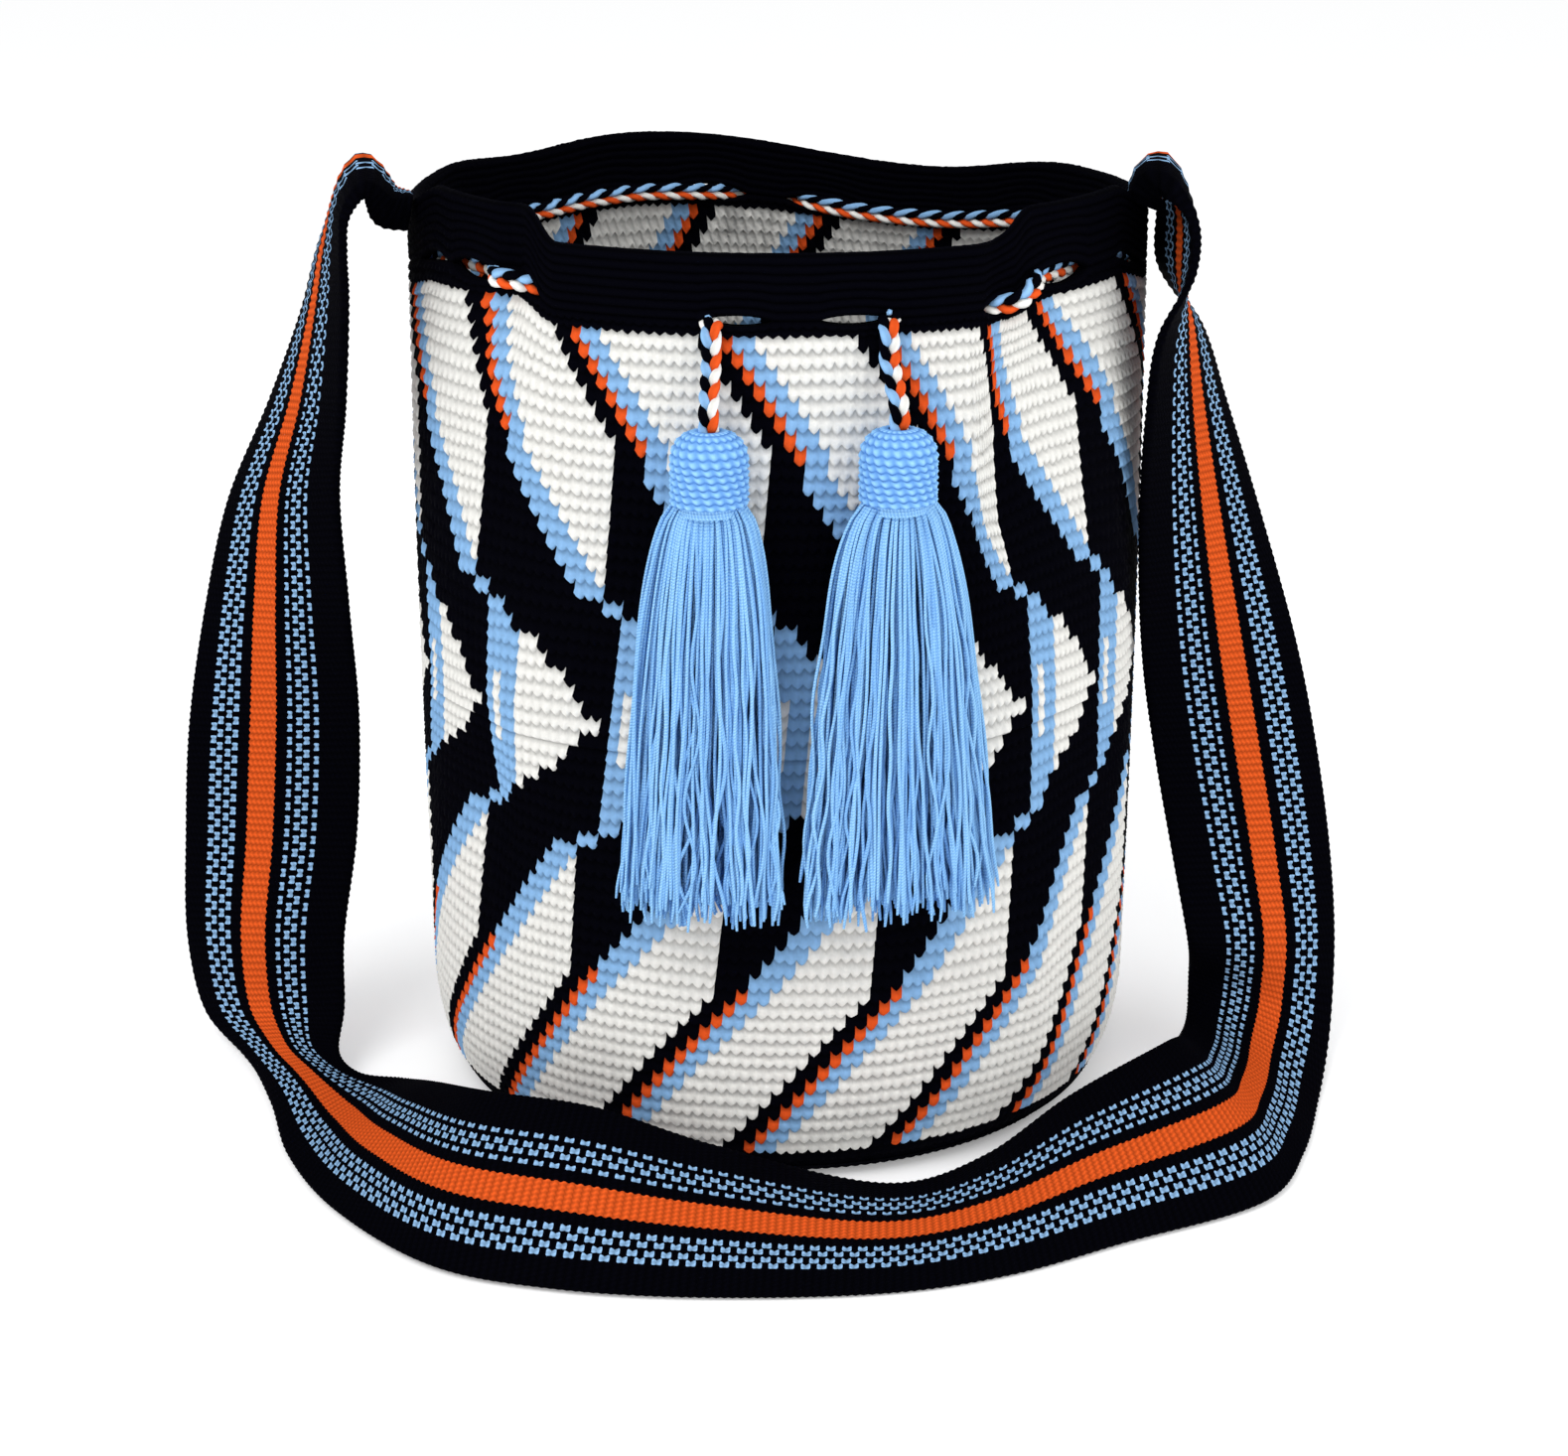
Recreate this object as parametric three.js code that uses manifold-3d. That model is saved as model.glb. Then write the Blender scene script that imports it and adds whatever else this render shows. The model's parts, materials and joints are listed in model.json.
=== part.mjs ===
// A crocheted bucket bag with a drawstring, two tassels and a woven shoulder strap.
// Millimetres, +Z up. The origin is the centre of the base's underside, the tassels face -Y.
// Angles are in degrees round the bag: 0 is the front (-Y), and positive goes towards +X.

import * as THREE from "three";
import { mergeVertices } from "three/addons/utils/BufferGeometryUtils.js";
import Module from "manifold-3d";

const wasm = await Module();
wasm.setup();

// Bag body
const bodyRadius = 125;
const bodyBulge = 1;
const rimHeight = 314;
const wallThickness = 4;
const baseRadius = 107;
const baseThickness = 5;
const cornerHeight = 40;
const bodySegments = 64;
const cornerSteps = 5;
const wallSteps = 5;

// Rim band: finer courses above the eyelets, pulled up and in where the strap's sides are
const bandHeight = 16;
const bandCourses = 6;
const courseDepth = 1.2;
const sideRise = 9;
const sideSetback = 5;
const rearWave = 5;
const pullDepth = 63;

// Eyelets and drawstring
const eyeletCount = 18;
const eyeletPhase = 12;
const eyeletLength = 32;
const eyeletHeight = 8.8;
const eyeletDrop = 20;
const cordDiameter = 6;
const cordClearance = 0.6;
const cordSteps = 84;
const cordSides = 8;
const cordCrossing = 15.5;
const cordStraight = 8.5;
const exitAngles = { left: -8.8, right: 15.3 };

// Tassels
const fitGap = 0.3;
const capDiameter = 23;
const capHeight = 25.5;
const capWall = 2.2;
const capCourses = 7;
const capSegments = 16;
const capDrop = 31;
const neckDiameter = 18;
const neckLength = 8;
const bindingTurns = 4;
const yarnDiameter = 1.6;
const skirtLength = 134;
const skirtDepth = 25;
const skirtFlutes = 20;
const fluteDepth = 1.1;
const hemRagged = 7;
const wallGap = 1;
const leftHalfWidth = 27;
const rightHalfWidth = 32;
const leftLean = -3.5;
const rightLean = 1.5;
const cordEndDepth = 7;
const tassels = [
  { side: "left", angle: -8.5, halfWidth: leftHalfWidth, lean: leftLean },
  { side: "right", angle: 15.5, halfWidth: rightHalfWidth, lean: rightLean },
];

// Strap
const strapWidth = 65;
const strapThickness = 3;
const strapSections = 100;
const strapAcross = 4;

const materials = {
  crochet: new THREE.MeshStandardMaterial({ color: 0xf0efe8, roughness: 0.95, metalness: 0 }),
  strap: new THREE.MeshStandardMaterial({ color: 0x0c1020, roughness: 0.9, metalness: 0 }),
  braid: new THREE.MeshStandardMaterial({ color: 0xe05a24, roughness: 0.85, metalness: 0 }),
  tassel: new THREE.MeshStandardMaterial({ color: 0x7db4f0, roughness: 0.9, metalness: 0 }),
};

const cordRadius = cordDiameter / 2;
const capRadius = capDiameter / 2;
const neckRadius = neckDiameter / 2;
const eyeletZ = rimHeight - eyeletDrop;
const eyeletPitch = 360 / eyeletCount;
const { degToRad, radToDeg, euclideanModulo, lerp, smoothstep } = THREE.MathUtils;

// An angle brought into -180 to 180.
const wrapped = (angle) => euclideanModulo(angle + 180, 360) - 180;

// A point at an angle round the bag, a distance from its axis and a height.
function around(angle, radius, z) {
  const a = degToRad(angle);
  return new THREE.Vector3(radius * Math.sin(a), -radius * Math.cos(a), z);
}

// The outer wall's radius: a quarter ellipse from the base, then a nearly straight wall.
function wallRadius(z) {
  if (z < cornerHeight) {
    const t = 1 - Math.max(z, 0) / cornerHeight;
    return baseRadius + (bodyRadius - baseRadius) * Math.sqrt(1 - t * t);
  }
  const up = (z - cornerHeight) / (rimHeight - cornerHeight);
  return bodyRadius + bodyBulge * Math.sin(Math.PI * Math.min(up, 1));
}

// 1 on the two sides of the rim, 0 on its front and back, with a quick fold between them.
function rimSide(angle) {
  const a = Math.abs(wrapped(angle));
  return smoothstep(a, 33, 42) * (1 - smoothstep(a, 66, 82));
}

// How far the soft rim is lifted: both sides pulled up, and one slow wave at the back.
function rimRise(angle) {
  const rear = wrapped(angle - 180);
  const wave = Math.sin((rear * Math.PI) / 52) * (1 - smoothstep(Math.abs(rear), 30, 70));
  return sideRise * rimSide(angle) + rearWave * wave;
}

// How much of the rim's shape reaches down to a height.
const pullAt = (z) => smoothstep(z, rimHeight - pullDepth, rimHeight);

// A point of the soft body: a plain place on the round bag, moved by the pull of the rim.
function onBody(angle, radius, z) {
  const pull = pullAt(z);
  const inward = sideSetback * rimSide(angle) * pull;
  return around(angle, radius - inward, z + rimRise(angle) * pull);
}

// A closed geometry as a manifold solid, and back.
function toSolid(geometry) {
  const bare = geometry.clone();
  bare.deleteAttribute("normal");
  bare.deleteAttribute("uv");
  const merged = mergeVertices(bare, 1e-3);
  const mesh = new wasm.Mesh({
    numProp: 3,
    vertProperties: merged.attributes.position.array,
    triVerts: new Uint32Array(merged.index.array),
  });
  return new wasm.Manifold(mesh);
}

function toGeometry(solid) {
  const mesh = solid.getMesh();
  const geometry = new THREE.BufferGeometry();
  geometry.setAttribute("position", new THREE.BufferAttribute(mesh.vertProperties, 3));
  geometry.setIndex(new THREE.BufferAttribute(mesh.triVerts, 1));
  geometry.computeVertexNormals();
  return geometry;
}

// A profile of [radius, z] pairs turned about the Z axis, its first column at the front.
function turned(profile, segments) {
  const points = profile.map(([r, z]) => new THREE.Vector2(r, z));
  return new THREE.LatheGeometry(points, segments).rotateX(Math.PI / 2);
}

// A round cord along hand-placed points.
function cordAlong(points, radius, steps) {
  const ring = Array.from({ length: cordSides }, (_, i) => {
    const a = (i / cordSides) * 2 * Math.PI;
    return new THREE.Vector2(radius * Math.cos(a), radius * Math.sin(a));
  });
  const path = new THREE.CatmullRomCurve3(points, false, "centripetal");
  const options = { steps, extrudePath: path, bevelEnabled: false };
  return new THREE.ExtrudeGeometry(new THREE.Shape(ring), options);
}

// Crocheted body: base, wall and rim band in one piece, with the eyelets cut through
function bodyProfile() {
  const outer = [[0, 0]];
  for (let i = 0; i <= cornerSteps; i += 1) {
    const z = cornerHeight * (1 - Math.cos((i / cornerSteps) * (Math.PI / 2)));
    outer.push([wallRadius(z), z]);
  }
  const bandBottom = rimHeight - bandHeight;
  for (let i = 1; i <= wallSteps; i += 1) {
    const z = lerp(cornerHeight, bandBottom, Math.sqrt(i / wallSteps));
    outer.push([wallRadius(z), z]);
  }
  const pitch = bandHeight / bandCourses;
  for (let i = 0; i < bandCourses; i += 1) {
    const z = bandBottom + i * pitch;
    outer.push([wallRadius(z) + courseDepth, z + pitch / 2]);
    outer.push([wallRadius(z), z + pitch]);
  }
  const inner = outer
    .filter(([r, z], i) => i > 1 && z > baseThickness && r <= wallRadius(z) + 1e-6)
    .map(([r, z]) => [r - wallThickness, z])
    .filter(([, z]) => z <= bandBottom || z === rimHeight);
  inner.unshift([baseRadius - wallThickness, baseThickness], [0, baseThickness]);
  inner.sort((a, b) => b[1] - a[1] || b[0] - a[0]);
  return [...outer, ...inner];
}

function eyeletCutter(angle) {
  const outline = new THREE.Shape();
  outline.absellipse(0, 0, eyeletLength / 2, eyeletHeight / 2, 0, 2 * Math.PI);
  const reach = 4 * wallThickness;
  const options = { depth: reach, bevelEnabled: false, curveSegments: 6 };
  const slot = new THREE.ExtrudeGeometry(outline, options);
  slot.translate(0, 0, -reach / 2);
  slot.rotateX(Math.PI / 2);
  slot.rotateZ(degToRad(angle));
  const middle = around(angle, wallRadius(eyeletZ) - wallThickness / 2, eyeletZ);
  return slot.translate(middle.x, middle.y, middle.z);
}

// The bag is turned and pierced round, and then its soft rim is pulled into shape.
function bagBody() {
  let solid = toSolid(turned(bodyProfile(), bodySegments));
  for (let i = 0; i < eyeletCount; i += 1) {
    solid = solid.subtract(toSolid(eyeletCutter(eyeletPhase + i * eyeletPitch)));
  }
  const shell = toGeometry(solid);
  const position = shell.attributes.position;
  for (let i = 0; i < position.count; i += 1) {
    const x = position.getX(i);
    const y = position.getY(i);
    const angle = radToDeg(Math.atan2(x, -y));
    const p = onBody(angle, Math.hypot(x, y), position.getZ(i));
    position.setXYZ(i, p.x, p.y, p.z);
  }
  shell.computeVertexNormals();
  return shell;
}

// Drawstring: woven through the eyelets, inside or outside the post after each one
const insidePost = -1;
const outsidePost = 1;
const sidePosts = [insidePost, outsidePost, insidePost, insidePost, insidePost, outsidePost];
const backPosts = [insidePost, insidePost, outsidePost, insidePost, insidePost];
const posts = [...sidePosts, ...backPosts, ...sidePosts.slice().reverse()];

function drawstringPoint(angle, layer) {
  const wallMiddle = wallRadius(eyeletZ) - wallThickness / 2;
  const clear = wallThickness / 2 + cordRadius + cordClearance;
  return onBody(angle, wallMiddle + layer * clear, eyeletZ);
}

function drawstringPoints() {
  const toCrossing = radToDeg(cordCrossing / bodyRadius);
  const toStraight = radToDeg(cordStraight / bodyRadius);
  const firstEyelet = eyeletPhase - eyeletPitch;
  const points = [];
  const mouth = wallRadius(eyeletZ) + 2;
  points.push(onBody(exitAngles.left, mouth, eyeletZ));
  points.push(onBody(exitAngles.left - 2, mouth - wallThickness, eyeletZ));
  posts.forEach((layer, i) => {
    const middle = firstEyelet - (i + 0.5) * eyeletPitch;
    if (layer === outsidePost) {
      points.push(drawstringPoint(middle + toCrossing, 0));
      points.push(drawstringPoint(middle + toStraight, layer));
      points.push(drawstringPoint(middle - toStraight, layer));
      points.push(drawstringPoint(middle - toCrossing, 0));
    } else {
      points.push(drawstringPoint(middle + eyeletPitch / 4, layer));
      points.push(drawstringPoint(middle, layer));
      points.push(drawstringPoint(middle - eyeletPitch / 4, layer));
    }
  });
  points.push(onBody(exitAngles.right + 2, mouth - wallThickness, eyeletZ));
  points.push(onBody(exitAngles.right, mouth, eyeletZ));
  return points;
}

// Tassel parts, built with the tassel's axis on Z, its cap's top at 0 and the wall behind it
const hangRadius = bodyRadius + bodyBulge + wallGap + cordRadius;
const tasselRadius = bodyRadius + bodyBulge + wallGap + skirtDepth / 2;
const capTopZ = eyeletZ - capDrop;
const knotTop = -cordEndDepth - fitGap;

function capGeometry() {
  const bore = cordRadius + fitGap;
  const domeHeight = capHeight * 0.3;
  const profile = [[bore, 0]];
  for (let i = 1; i <= 3; i += 1) {
    const a = (i / 3) * (Math.PI / 2);
    profile.push([bore + (capRadius - bore) * Math.sin(a), -domeHeight * (1 - Math.cos(a))]);
  }
  const pitch = (capHeight - domeHeight) / capCourses;
  for (let i = 1; i <= capCourses; i += 1) {
    profile.push([capRadius - 0.7, -domeHeight - (i - 0.5) * pitch]);
    profile.push([capRadius, -domeHeight - i * pitch]);
  }
  const inside = capRadius - 0.7 - capWall;
  profile.push([inside, -capHeight]);
  profile.push([inside, -domeHeight]);
  profile.push([bore, -capWall]);
  profile.push([bore, 0]);
  return turned(profile.reverse(), capSegments);
}

// The knot that stops the cord inside the cap.
function knotGeometry() {
  const height = cordDiameter * 1.6;
  const knot = new THREE.SphereGeometry(cordDiameter, 12, 8);
  knot.rotateX(Math.PI / 2);
  knot.scale(1, 1, height / (2 * cordDiameter));
  return knot.translate(0, 0, knotTop - height / 2);
}

// A bell of yarn: a round neck inside the cap, a waist under the binding, then a flat flare.
function skirtGeometry({ halfWidth, lean }) {
  const columns = skirtFlutes * 2;
  const waist = neckRadius - yarnDiameter;
  const bindingLength = bindingTurns * yarnDiameter;
  const waistTop = -capHeight - fitGap;
  const waistBottom = waistTop - bindingLength;
  const rows = [
    { z: -capHeight + neckLength, a: waist, b: waist, flute: 0 },
    { z: waistTop, a: waist, b: waist, flute: 0 },
    { z: waistBottom, a: waist, b: waist, flute: 0 },
  ];
  const bellRows = 7;
  for (let i = 1; i <= bellRows; i += 1) {
    const t = i / bellRows;
    const swell = Math.pow(Math.sin((t * Math.PI) / 2), 0.75);
    rows.push({
      z: waistBottom - t * (skirtLength - bindingLength),
      a: lerp(waist + yarnDiameter, halfWidth, swell),
      b: lerp(waist + yarnDiameter, skirtDepth / 2, Math.min(1, 2 * t)),
      flute: fluteDepth,
      shift: lean * t,
    });
  }
  const vertices = [];
  const triangles = [];
  vertices.push(0, 0, rows[0].z);
  rows.forEach((row, k) => {
    for (let j = 0; j < columns; j += 1) {
      const a = (j / columns) * 2 * Math.PI;
      const ridge = j % 2 ? -row.flute : 0;
      const isHem = k === rows.length - 1;
      const drop = isHem ? hemRagged * (0.5 + 0.5 * Math.sin(j * 2.4)) : 0;
      const x = (row.a + ridge) * Math.cos(a) + (row.shift ?? 0);
      vertices.push(x, (row.b + ridge) * Math.sin(a), row.z + drop);
    }
  });
  const last = rows.length - 1;
  vertices.push(rows[last].shift, 0, rows[last].z + hemRagged);
  const at = (k, j) => 1 + k * columns + (j % columns);
  const bottom = vertices.length / 3 - 1;
  for (let j = 0; j < columns; j += 1) {
    triangles.push(0, at(0, j), at(0, j + 1));
    for (let k = 0; k < last; k += 1) {
      triangles.push(at(k, j), at(k + 1, j), at(k + 1, j + 1));
      triangles.push(at(k, j), at(k + 1, j + 1), at(k, j + 1));
    }
    triangles.push(at(last, j), bottom, at(last, j + 1));
  }
  const geometry = new THREE.BufferGeometry();
  geometry.setAttribute("position", new THREE.Float32BufferAttribute(vertices, 3));
  geometry.setIndex(triangles);
  geometry.computeVertexNormals();
  return geometry;
}

// Yarn wound round the waist, its turns side by side.
function bindingGeometry() {
  const inside = neckRadius - yarnDiameter + fitGap;
  const top = -capHeight - fitGap;
  const profile = [[inside, top]];
  for (let i = 0; i < bindingTurns; i += 1) {
    const z = top - i * yarnDiameter;
    profile.push([inside + yarnDiameter, z - yarnDiameter * 0.3]);
    profile.push([inside + yarnDiameter, z - yarnDiameter * 0.7]);
    profile.push([inside + yarnDiameter * 0.6, z - yarnDiameter]);
  }
  profile.push([inside, top - bindingTurns * yarnDiameter]);
  profile.push([inside, top]);
  return turned(profile.reverse(), capSegments);
}

// The hanging end of the drawstring, from just under its eyelet into the cap.
function hangingEnd(tassel) {
  const exit = exitAngles[tassel.side];
  const start = eyeletZ - cordRadius - fitGap;
  const end = capTopZ - cordEndDepth;
  const points = [
    around(exit, hangRadius, start),
    around(exit, hangRadius, lerp(start, capTopZ, 0.3)),
    around(tassel.angle, tasselRadius, lerp(start, capTopZ, 0.8)),
    around(tassel.angle, tasselRadius, capTopZ),
    around(tassel.angle, tasselRadius, end),
  ];
  return cordAlong(points, cordRadius, 6);
}

// Strap: one woven band whose two edges pass through hand-placed stations.
// Each station gives both edges as angle, distance outside the body and share of the rim's
// height above the floor, then the crown of the band and how many layers it is folded into.
const seatAngle = 78;
const strapSeat = courseDepth + 2 * fitGap - sideSetback * rimSide(seatAngle);
const strapStations = [
  [-seatAngle, strapSeat, 0.99, -74, strapSeat, 0.99, 1, 4],
  [-80, 9, 0.996, -72, 10, 0.995, 3, 3.6],
  [-86, 16, 1.032, -68, 19, 1.024, 4, 2],
  [-88, 24, 1.0, -66, 27, 1.002, 3, 1.2],
  [-87, 32, 0.947, -65, 31, 0.965, 2, 1],
  [-87, 39, 0.874, -65, 31, 0.922, 2, 1],
  [-88, 52, 0.772, -67, 31, 0.804, 2, 1],
  [-90, 67, 0.654, -73, 29, 0.696, 2, 1],
  [-91, 78, 0.537, -78, 27, 0.562, 2, 1],
  [-91, 87, 0.393, -85, 25, 0.409, 2, 1],
  [-92, 92, 0.25, -86, 28, 0.263, 2, 1],
  [-91, 93, 0.116, -84, 34, 0.142, 3, 1],
  [-91, 88, 0.024, -81, 35, 0.07, 3, 1],
  [-83, 71, 0, -76, 36, 0.036, 4, 1],
  [-72, 65, 0, -73, 30, 0.016, 4, 1],
  [-59, 69, 0, -70, 18, 0.011, 3, 1],
  [-46, 76, 0, -55, 19, 0.059, 3, 1],
  [-31, 84, 0, -36, 33, 0.113, 3, 1],
  [-20, 81, 0, -23, 28, 0.116, 3, 1],
  [-7, 75, 0, -9, 13, 0.065, 3, 1],
  [11, 75, 0, 17, 12, 0.011, 3, 1],
  [22, 75, 0, 30, 14, 0.027, 3, 1],
  [34, 74, 0, 43, 19, 0.075, 3, 1],
  [51, 86, 0, 62, 28, 0.091, 3, 1],
  [61, 81, 0, 75, 25, 0.053, 3, 1],
  [74, 75, 0, 82, 26, 0.053, 3, 1],
  [86, 78, 0.033, 82, 26, 0.104, 3, 1],
  [89, 79, 0.123, 77, 26, 0.161, 3, 1],
  [90, 76, 0.234, 79, 19, 0.256, 2, 1],
  [90, 69, 0.361, 80, 11, 0.374, 2, 1],
  [90, 60, 0.482, 77, 6, 0.489, 2, 1],
  [90, 47, 0.632, 70, 6, 0.642, 2, 1],
  [88, 32, 0.772, 64, 11, 0.791, 2, 1],
  [87, 22, 0.855, 61, 17, 0.881, 2, 1],
  [87, 7, 0.925, 62, 27, 0.947, 2, 1],
  [89, 9, 0.985, 66, 25, 0.995, 2, 1.2],
  [86, 13, 1.034, 69, 17, 1.03, 4, 2],
  [80, 9, 1.004, 72, 10, 1.003, 3, 3.6],
  [seatAngle, strapSeat, 0.998, 74, strapSeat, 0.998, 1, 4],
];

function strapEdge(station, first) {
  const [angle, out, share] = station.slice(first, first + 3);
  return around(angle, bodyRadius + out, strapThickness / 2 + share * rimHeight);
}

function strapGeometry() {
  const outerEdge = new THREE.CatmullRomCurve3(strapStations.map((s) => strapEdge(s, 0)));
  const innerEdge = new THREE.CatmullRomCurve3(strapStations.map((s) => strapEdge(s, 3)));
  const folds = new THREE.CatmullRomCurve3(
    strapStations.map(([, , , , , , crown, layers]) => new THREE.Vector3(crown, layers, 0)),
  );
  const middle = (t) => outerEdge.getPoint(t).lerp(innerEdge.getPoint(t), 0.5);
  const vertices = [];
  const triangles = [];
  const ring = 2 * (strapAcross + 1);
  const ahead = 1 / (4 * strapSections);
  for (let i = 0; i <= strapSections; i += 1) {
    const t = i / strapSections;
    const outer = outerEdge.getPoint(t);
    const inner = innerEdge.getPoint(t);
    const fold = folds.getPoint(t);
    const along = middle(Math.min(t + ahead, 1)).sub(middle(Math.max(t - ahead, 0)));
    const normal = along.cross(inner.clone().sub(outer)).normalize();
    for (let j = 0; j < ring; j += 1) {
      const isBack = j > strapAcross;
      const share = (isBack ? ring - 1 - j : j) / strapAcross;
      const crown = fold.x * 4 * share * (1 - share);
      const layer = (isBack ? -0.5 : 0.5) * strapThickness * fold.y;
      const p = outer.clone().lerp(inner, share).addScaledVector(normal, crown + layer);
      vertices.push(p.x, p.y, Math.max(p.z, isBack ? 0 : strapThickness / 2));
    }
  }
  const at = (i, j) => i * ring + (j % ring);
  for (let i = 0; i < strapSections; i += 1) {
    for (let j = 0; j < ring; j += 1) {
      triangles.push(at(i, j), at(i + 1, j), at(i + 1, j + 1));
      triangles.push(at(i, j), at(i + 1, j + 1), at(i, j + 1));
    }
  }
  for (let j = 0; j < strapAcross; j += 1) {
    const back = ring - 1 - j;
    triangles.push(at(0, j), at(0, j + 1), at(0, back - 1), at(0, j), at(0, back - 1), at(0, back));
    const k = strapSections;
    triangles.push(at(k, j + 1), at(k, j), at(k, back - 1), at(k, j), at(k, back), at(k, back - 1));
  }
  const geometry = new THREE.BufferGeometry();
  geometry.setAttribute("position", new THREE.Float32BufferAttribute(vertices, 3));
  geometry.setIndex(triangles);
  geometry.computeVertexNormals();
  return geometry;
}

// The assembled bag
const group = new THREE.Group();

function addPiece(parent, name, geometry, material) {
  const mesh = new THREE.Mesh(geometry, material);
  mesh.name = name;
  parent.add(mesh);
  return mesh;
}

addPiece(group, "bag_body", bagBody(), materials.crochet);
addPiece(group, "strap", strapGeometry(), materials.strap);
const drawstring = cordAlong(drawstringPoints(), cordRadius, cordSteps);
addPiece(group, "drawstring", drawstring, materials.braid);

for (const tassel of tassels) {
  const name = (piece) => piece + "_" + tassel.side;
  addPiece(group, name("drawstring_end"), hangingEnd(tassel), materials.braid);
  const hung = new THREE.Group();
  hung.position.copy(around(tassel.angle, tasselRadius, capTopZ));
  hung.rotation.z = degToRad(tassel.angle);
  addPiece(hung, name("tassel_cap"), capGeometry(), materials.tassel);
  addPiece(hung, name("tassel_skirt"), skirtGeometry(tassel), materials.tassel);
  addPiece(hung, name("tassel_binding"), bindingGeometry(), materials.tassel);
  addPiece(hung, name("cord_knot"), knotGeometry(), materials.braid);
  group.add(hung);
}

export default group;
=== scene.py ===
# %% [markdown]
# # A crocheted mochila bag
# The bag is soft: crochet, a woven band, a braided cord and loose yarn. Its sizes come from the
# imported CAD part, which this script loads as a fixed frame. Each soft piece is then computed as
# a finer surface that stands in the place of its plain CAD solid.

import bpy
import json
import numpy as np
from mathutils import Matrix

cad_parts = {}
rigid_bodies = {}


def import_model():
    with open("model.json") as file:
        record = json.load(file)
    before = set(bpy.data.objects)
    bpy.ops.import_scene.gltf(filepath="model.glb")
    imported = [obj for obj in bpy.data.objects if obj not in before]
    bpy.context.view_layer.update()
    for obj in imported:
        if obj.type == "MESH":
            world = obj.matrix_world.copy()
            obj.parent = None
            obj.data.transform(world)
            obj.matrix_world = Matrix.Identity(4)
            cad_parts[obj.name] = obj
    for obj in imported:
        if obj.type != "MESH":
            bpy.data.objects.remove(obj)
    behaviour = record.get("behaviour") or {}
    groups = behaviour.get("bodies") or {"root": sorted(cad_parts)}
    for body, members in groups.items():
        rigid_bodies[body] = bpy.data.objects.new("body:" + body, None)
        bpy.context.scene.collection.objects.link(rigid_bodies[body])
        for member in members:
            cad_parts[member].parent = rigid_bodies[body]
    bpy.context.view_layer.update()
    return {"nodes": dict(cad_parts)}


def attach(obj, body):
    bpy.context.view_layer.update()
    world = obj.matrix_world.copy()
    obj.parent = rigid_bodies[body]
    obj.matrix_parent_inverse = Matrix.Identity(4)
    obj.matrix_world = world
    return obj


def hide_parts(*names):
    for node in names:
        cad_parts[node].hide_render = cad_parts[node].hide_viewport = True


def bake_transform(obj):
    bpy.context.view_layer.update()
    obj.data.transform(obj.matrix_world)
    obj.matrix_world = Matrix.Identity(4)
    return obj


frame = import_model()

MM = 0.001
rng = np.random.default_rng(7)

# %% [markdown]
# The photo looks slightly down at the bag from about a metre in front. A long lens keeps the
# sides straight, which a wide one would spread. The numbers come from fitting the rim's
# ellipse, the base edge and the crochet courses.

# %% Camera
camera = bpy.data.objects.new("camera", bpy.data.cameras.new("camera"))
scene_objects = bpy.context.scene.collection.objects
scene_objects.link(camera)
camera.location = (0.0022, -1.058, 0.476)
camera.rotation_euler = (np.radians(90 - 18.52), 0, 0)
camera.data.sensor_width = 36
camera.data.lens = 71.04
camera.data.clip_start = 0.05
camera.data.clip_end = 50
bpy.context.scene.camera = camera
print("camera lens, mm:", camera.data.lens)

# %% [markdown]
# Everything is computed as whole arrays. These helpers hold what all the pieces share: smooth
# steps, a curve through given points, and turning a grid of points into a mesh. A grid is
# quick to build and its two directions give the UV coordinates that the yarn materials use.

# %% Helpers for curves
def smoothstep(x, a, b):
    """0 below a, 1 above b, and the cubic 3t^2 - 2t^3 between them."""
    t = np.clip((np.asarray(x, float) - a) / (b - a), 0, 1)
    return t * t * (3 - 2 * t)


def through(points, t):
    """Centripetal Catmull-Rom curve: a cubic between each two points, whose end slopes weigh
    the neighbours by the square root of their distance. t runs from 0 to 1 over the points."""
    p = np.asarray(points, float)
    p = np.vstack([2 * p[0] - p[1], p, 2 * p[-1] - p[-2]])
    at = np.asarray(t, float) * (len(p) - 3)
    i = np.minimum(at.astype(int), len(p) - 4)
    w = (at - i)[:, None]
    x0, x1, x2, x3 = p[i], p[i + 1], p[i + 2], p[i + 3]
    d0, d1, d2 = [
        np.maximum(np.sqrt(np.linalg.norm(b - a, axis=1)), 1e-4)[:, None]
        for a, b in ((x0, x1), (x1, x2), (x2, x3))
    ]
    m1 = ((x1 - x0) / d0 - (x2 - x0) / (d0 + d1) + (x2 - x1) / d1) * d1
    m2 = ((x2 - x1) / d1 - (x3 - x1) / (d1 + d2) + (x3 - x2) / d2) * d1
    c2, c3 = -3 * x1 + 3 * x2 - 2 * m1 - m2, 2 * x1 - 2 * x2 + m1 + m2
    return x1 + m1 * w + c2 * w**2 + c3 * w**3


def lengths(line):
    """The length of the line from its start to each point."""
    return np.concatenate([[0], np.cumsum(np.linalg.norm(np.diff(line, axis=0), axis=1))])


def evenly(line, step):
    """The line sampled again, at nearly equal steps of its length. Also gives that length."""
    along = lengths(line)
    at = np.linspace(0, along[-1], int(round(along[-1] / step)) + 1)
    return np.stack([np.interp(at, along, line[:, k]) for k in range(3)], axis=1), along[-1]


def linear(r, g, b):
    """A colour of 0-255 values, as the eye sees it, turned into the linear light it stands for."""
    c = np.array([r, g, b], float) / 255
    return np.where(c <= 0.04045, c / 12.92, ((c + 0.055) / 1.055) ** 2.4)


# %% Helpers for meshes
def uv_grid(u, v):
    """UV for [row, column]: u for each column, v for each row."""
    return np.stack(np.broadcast_arrays(u[None, :], v[:, None]), -1)


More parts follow.
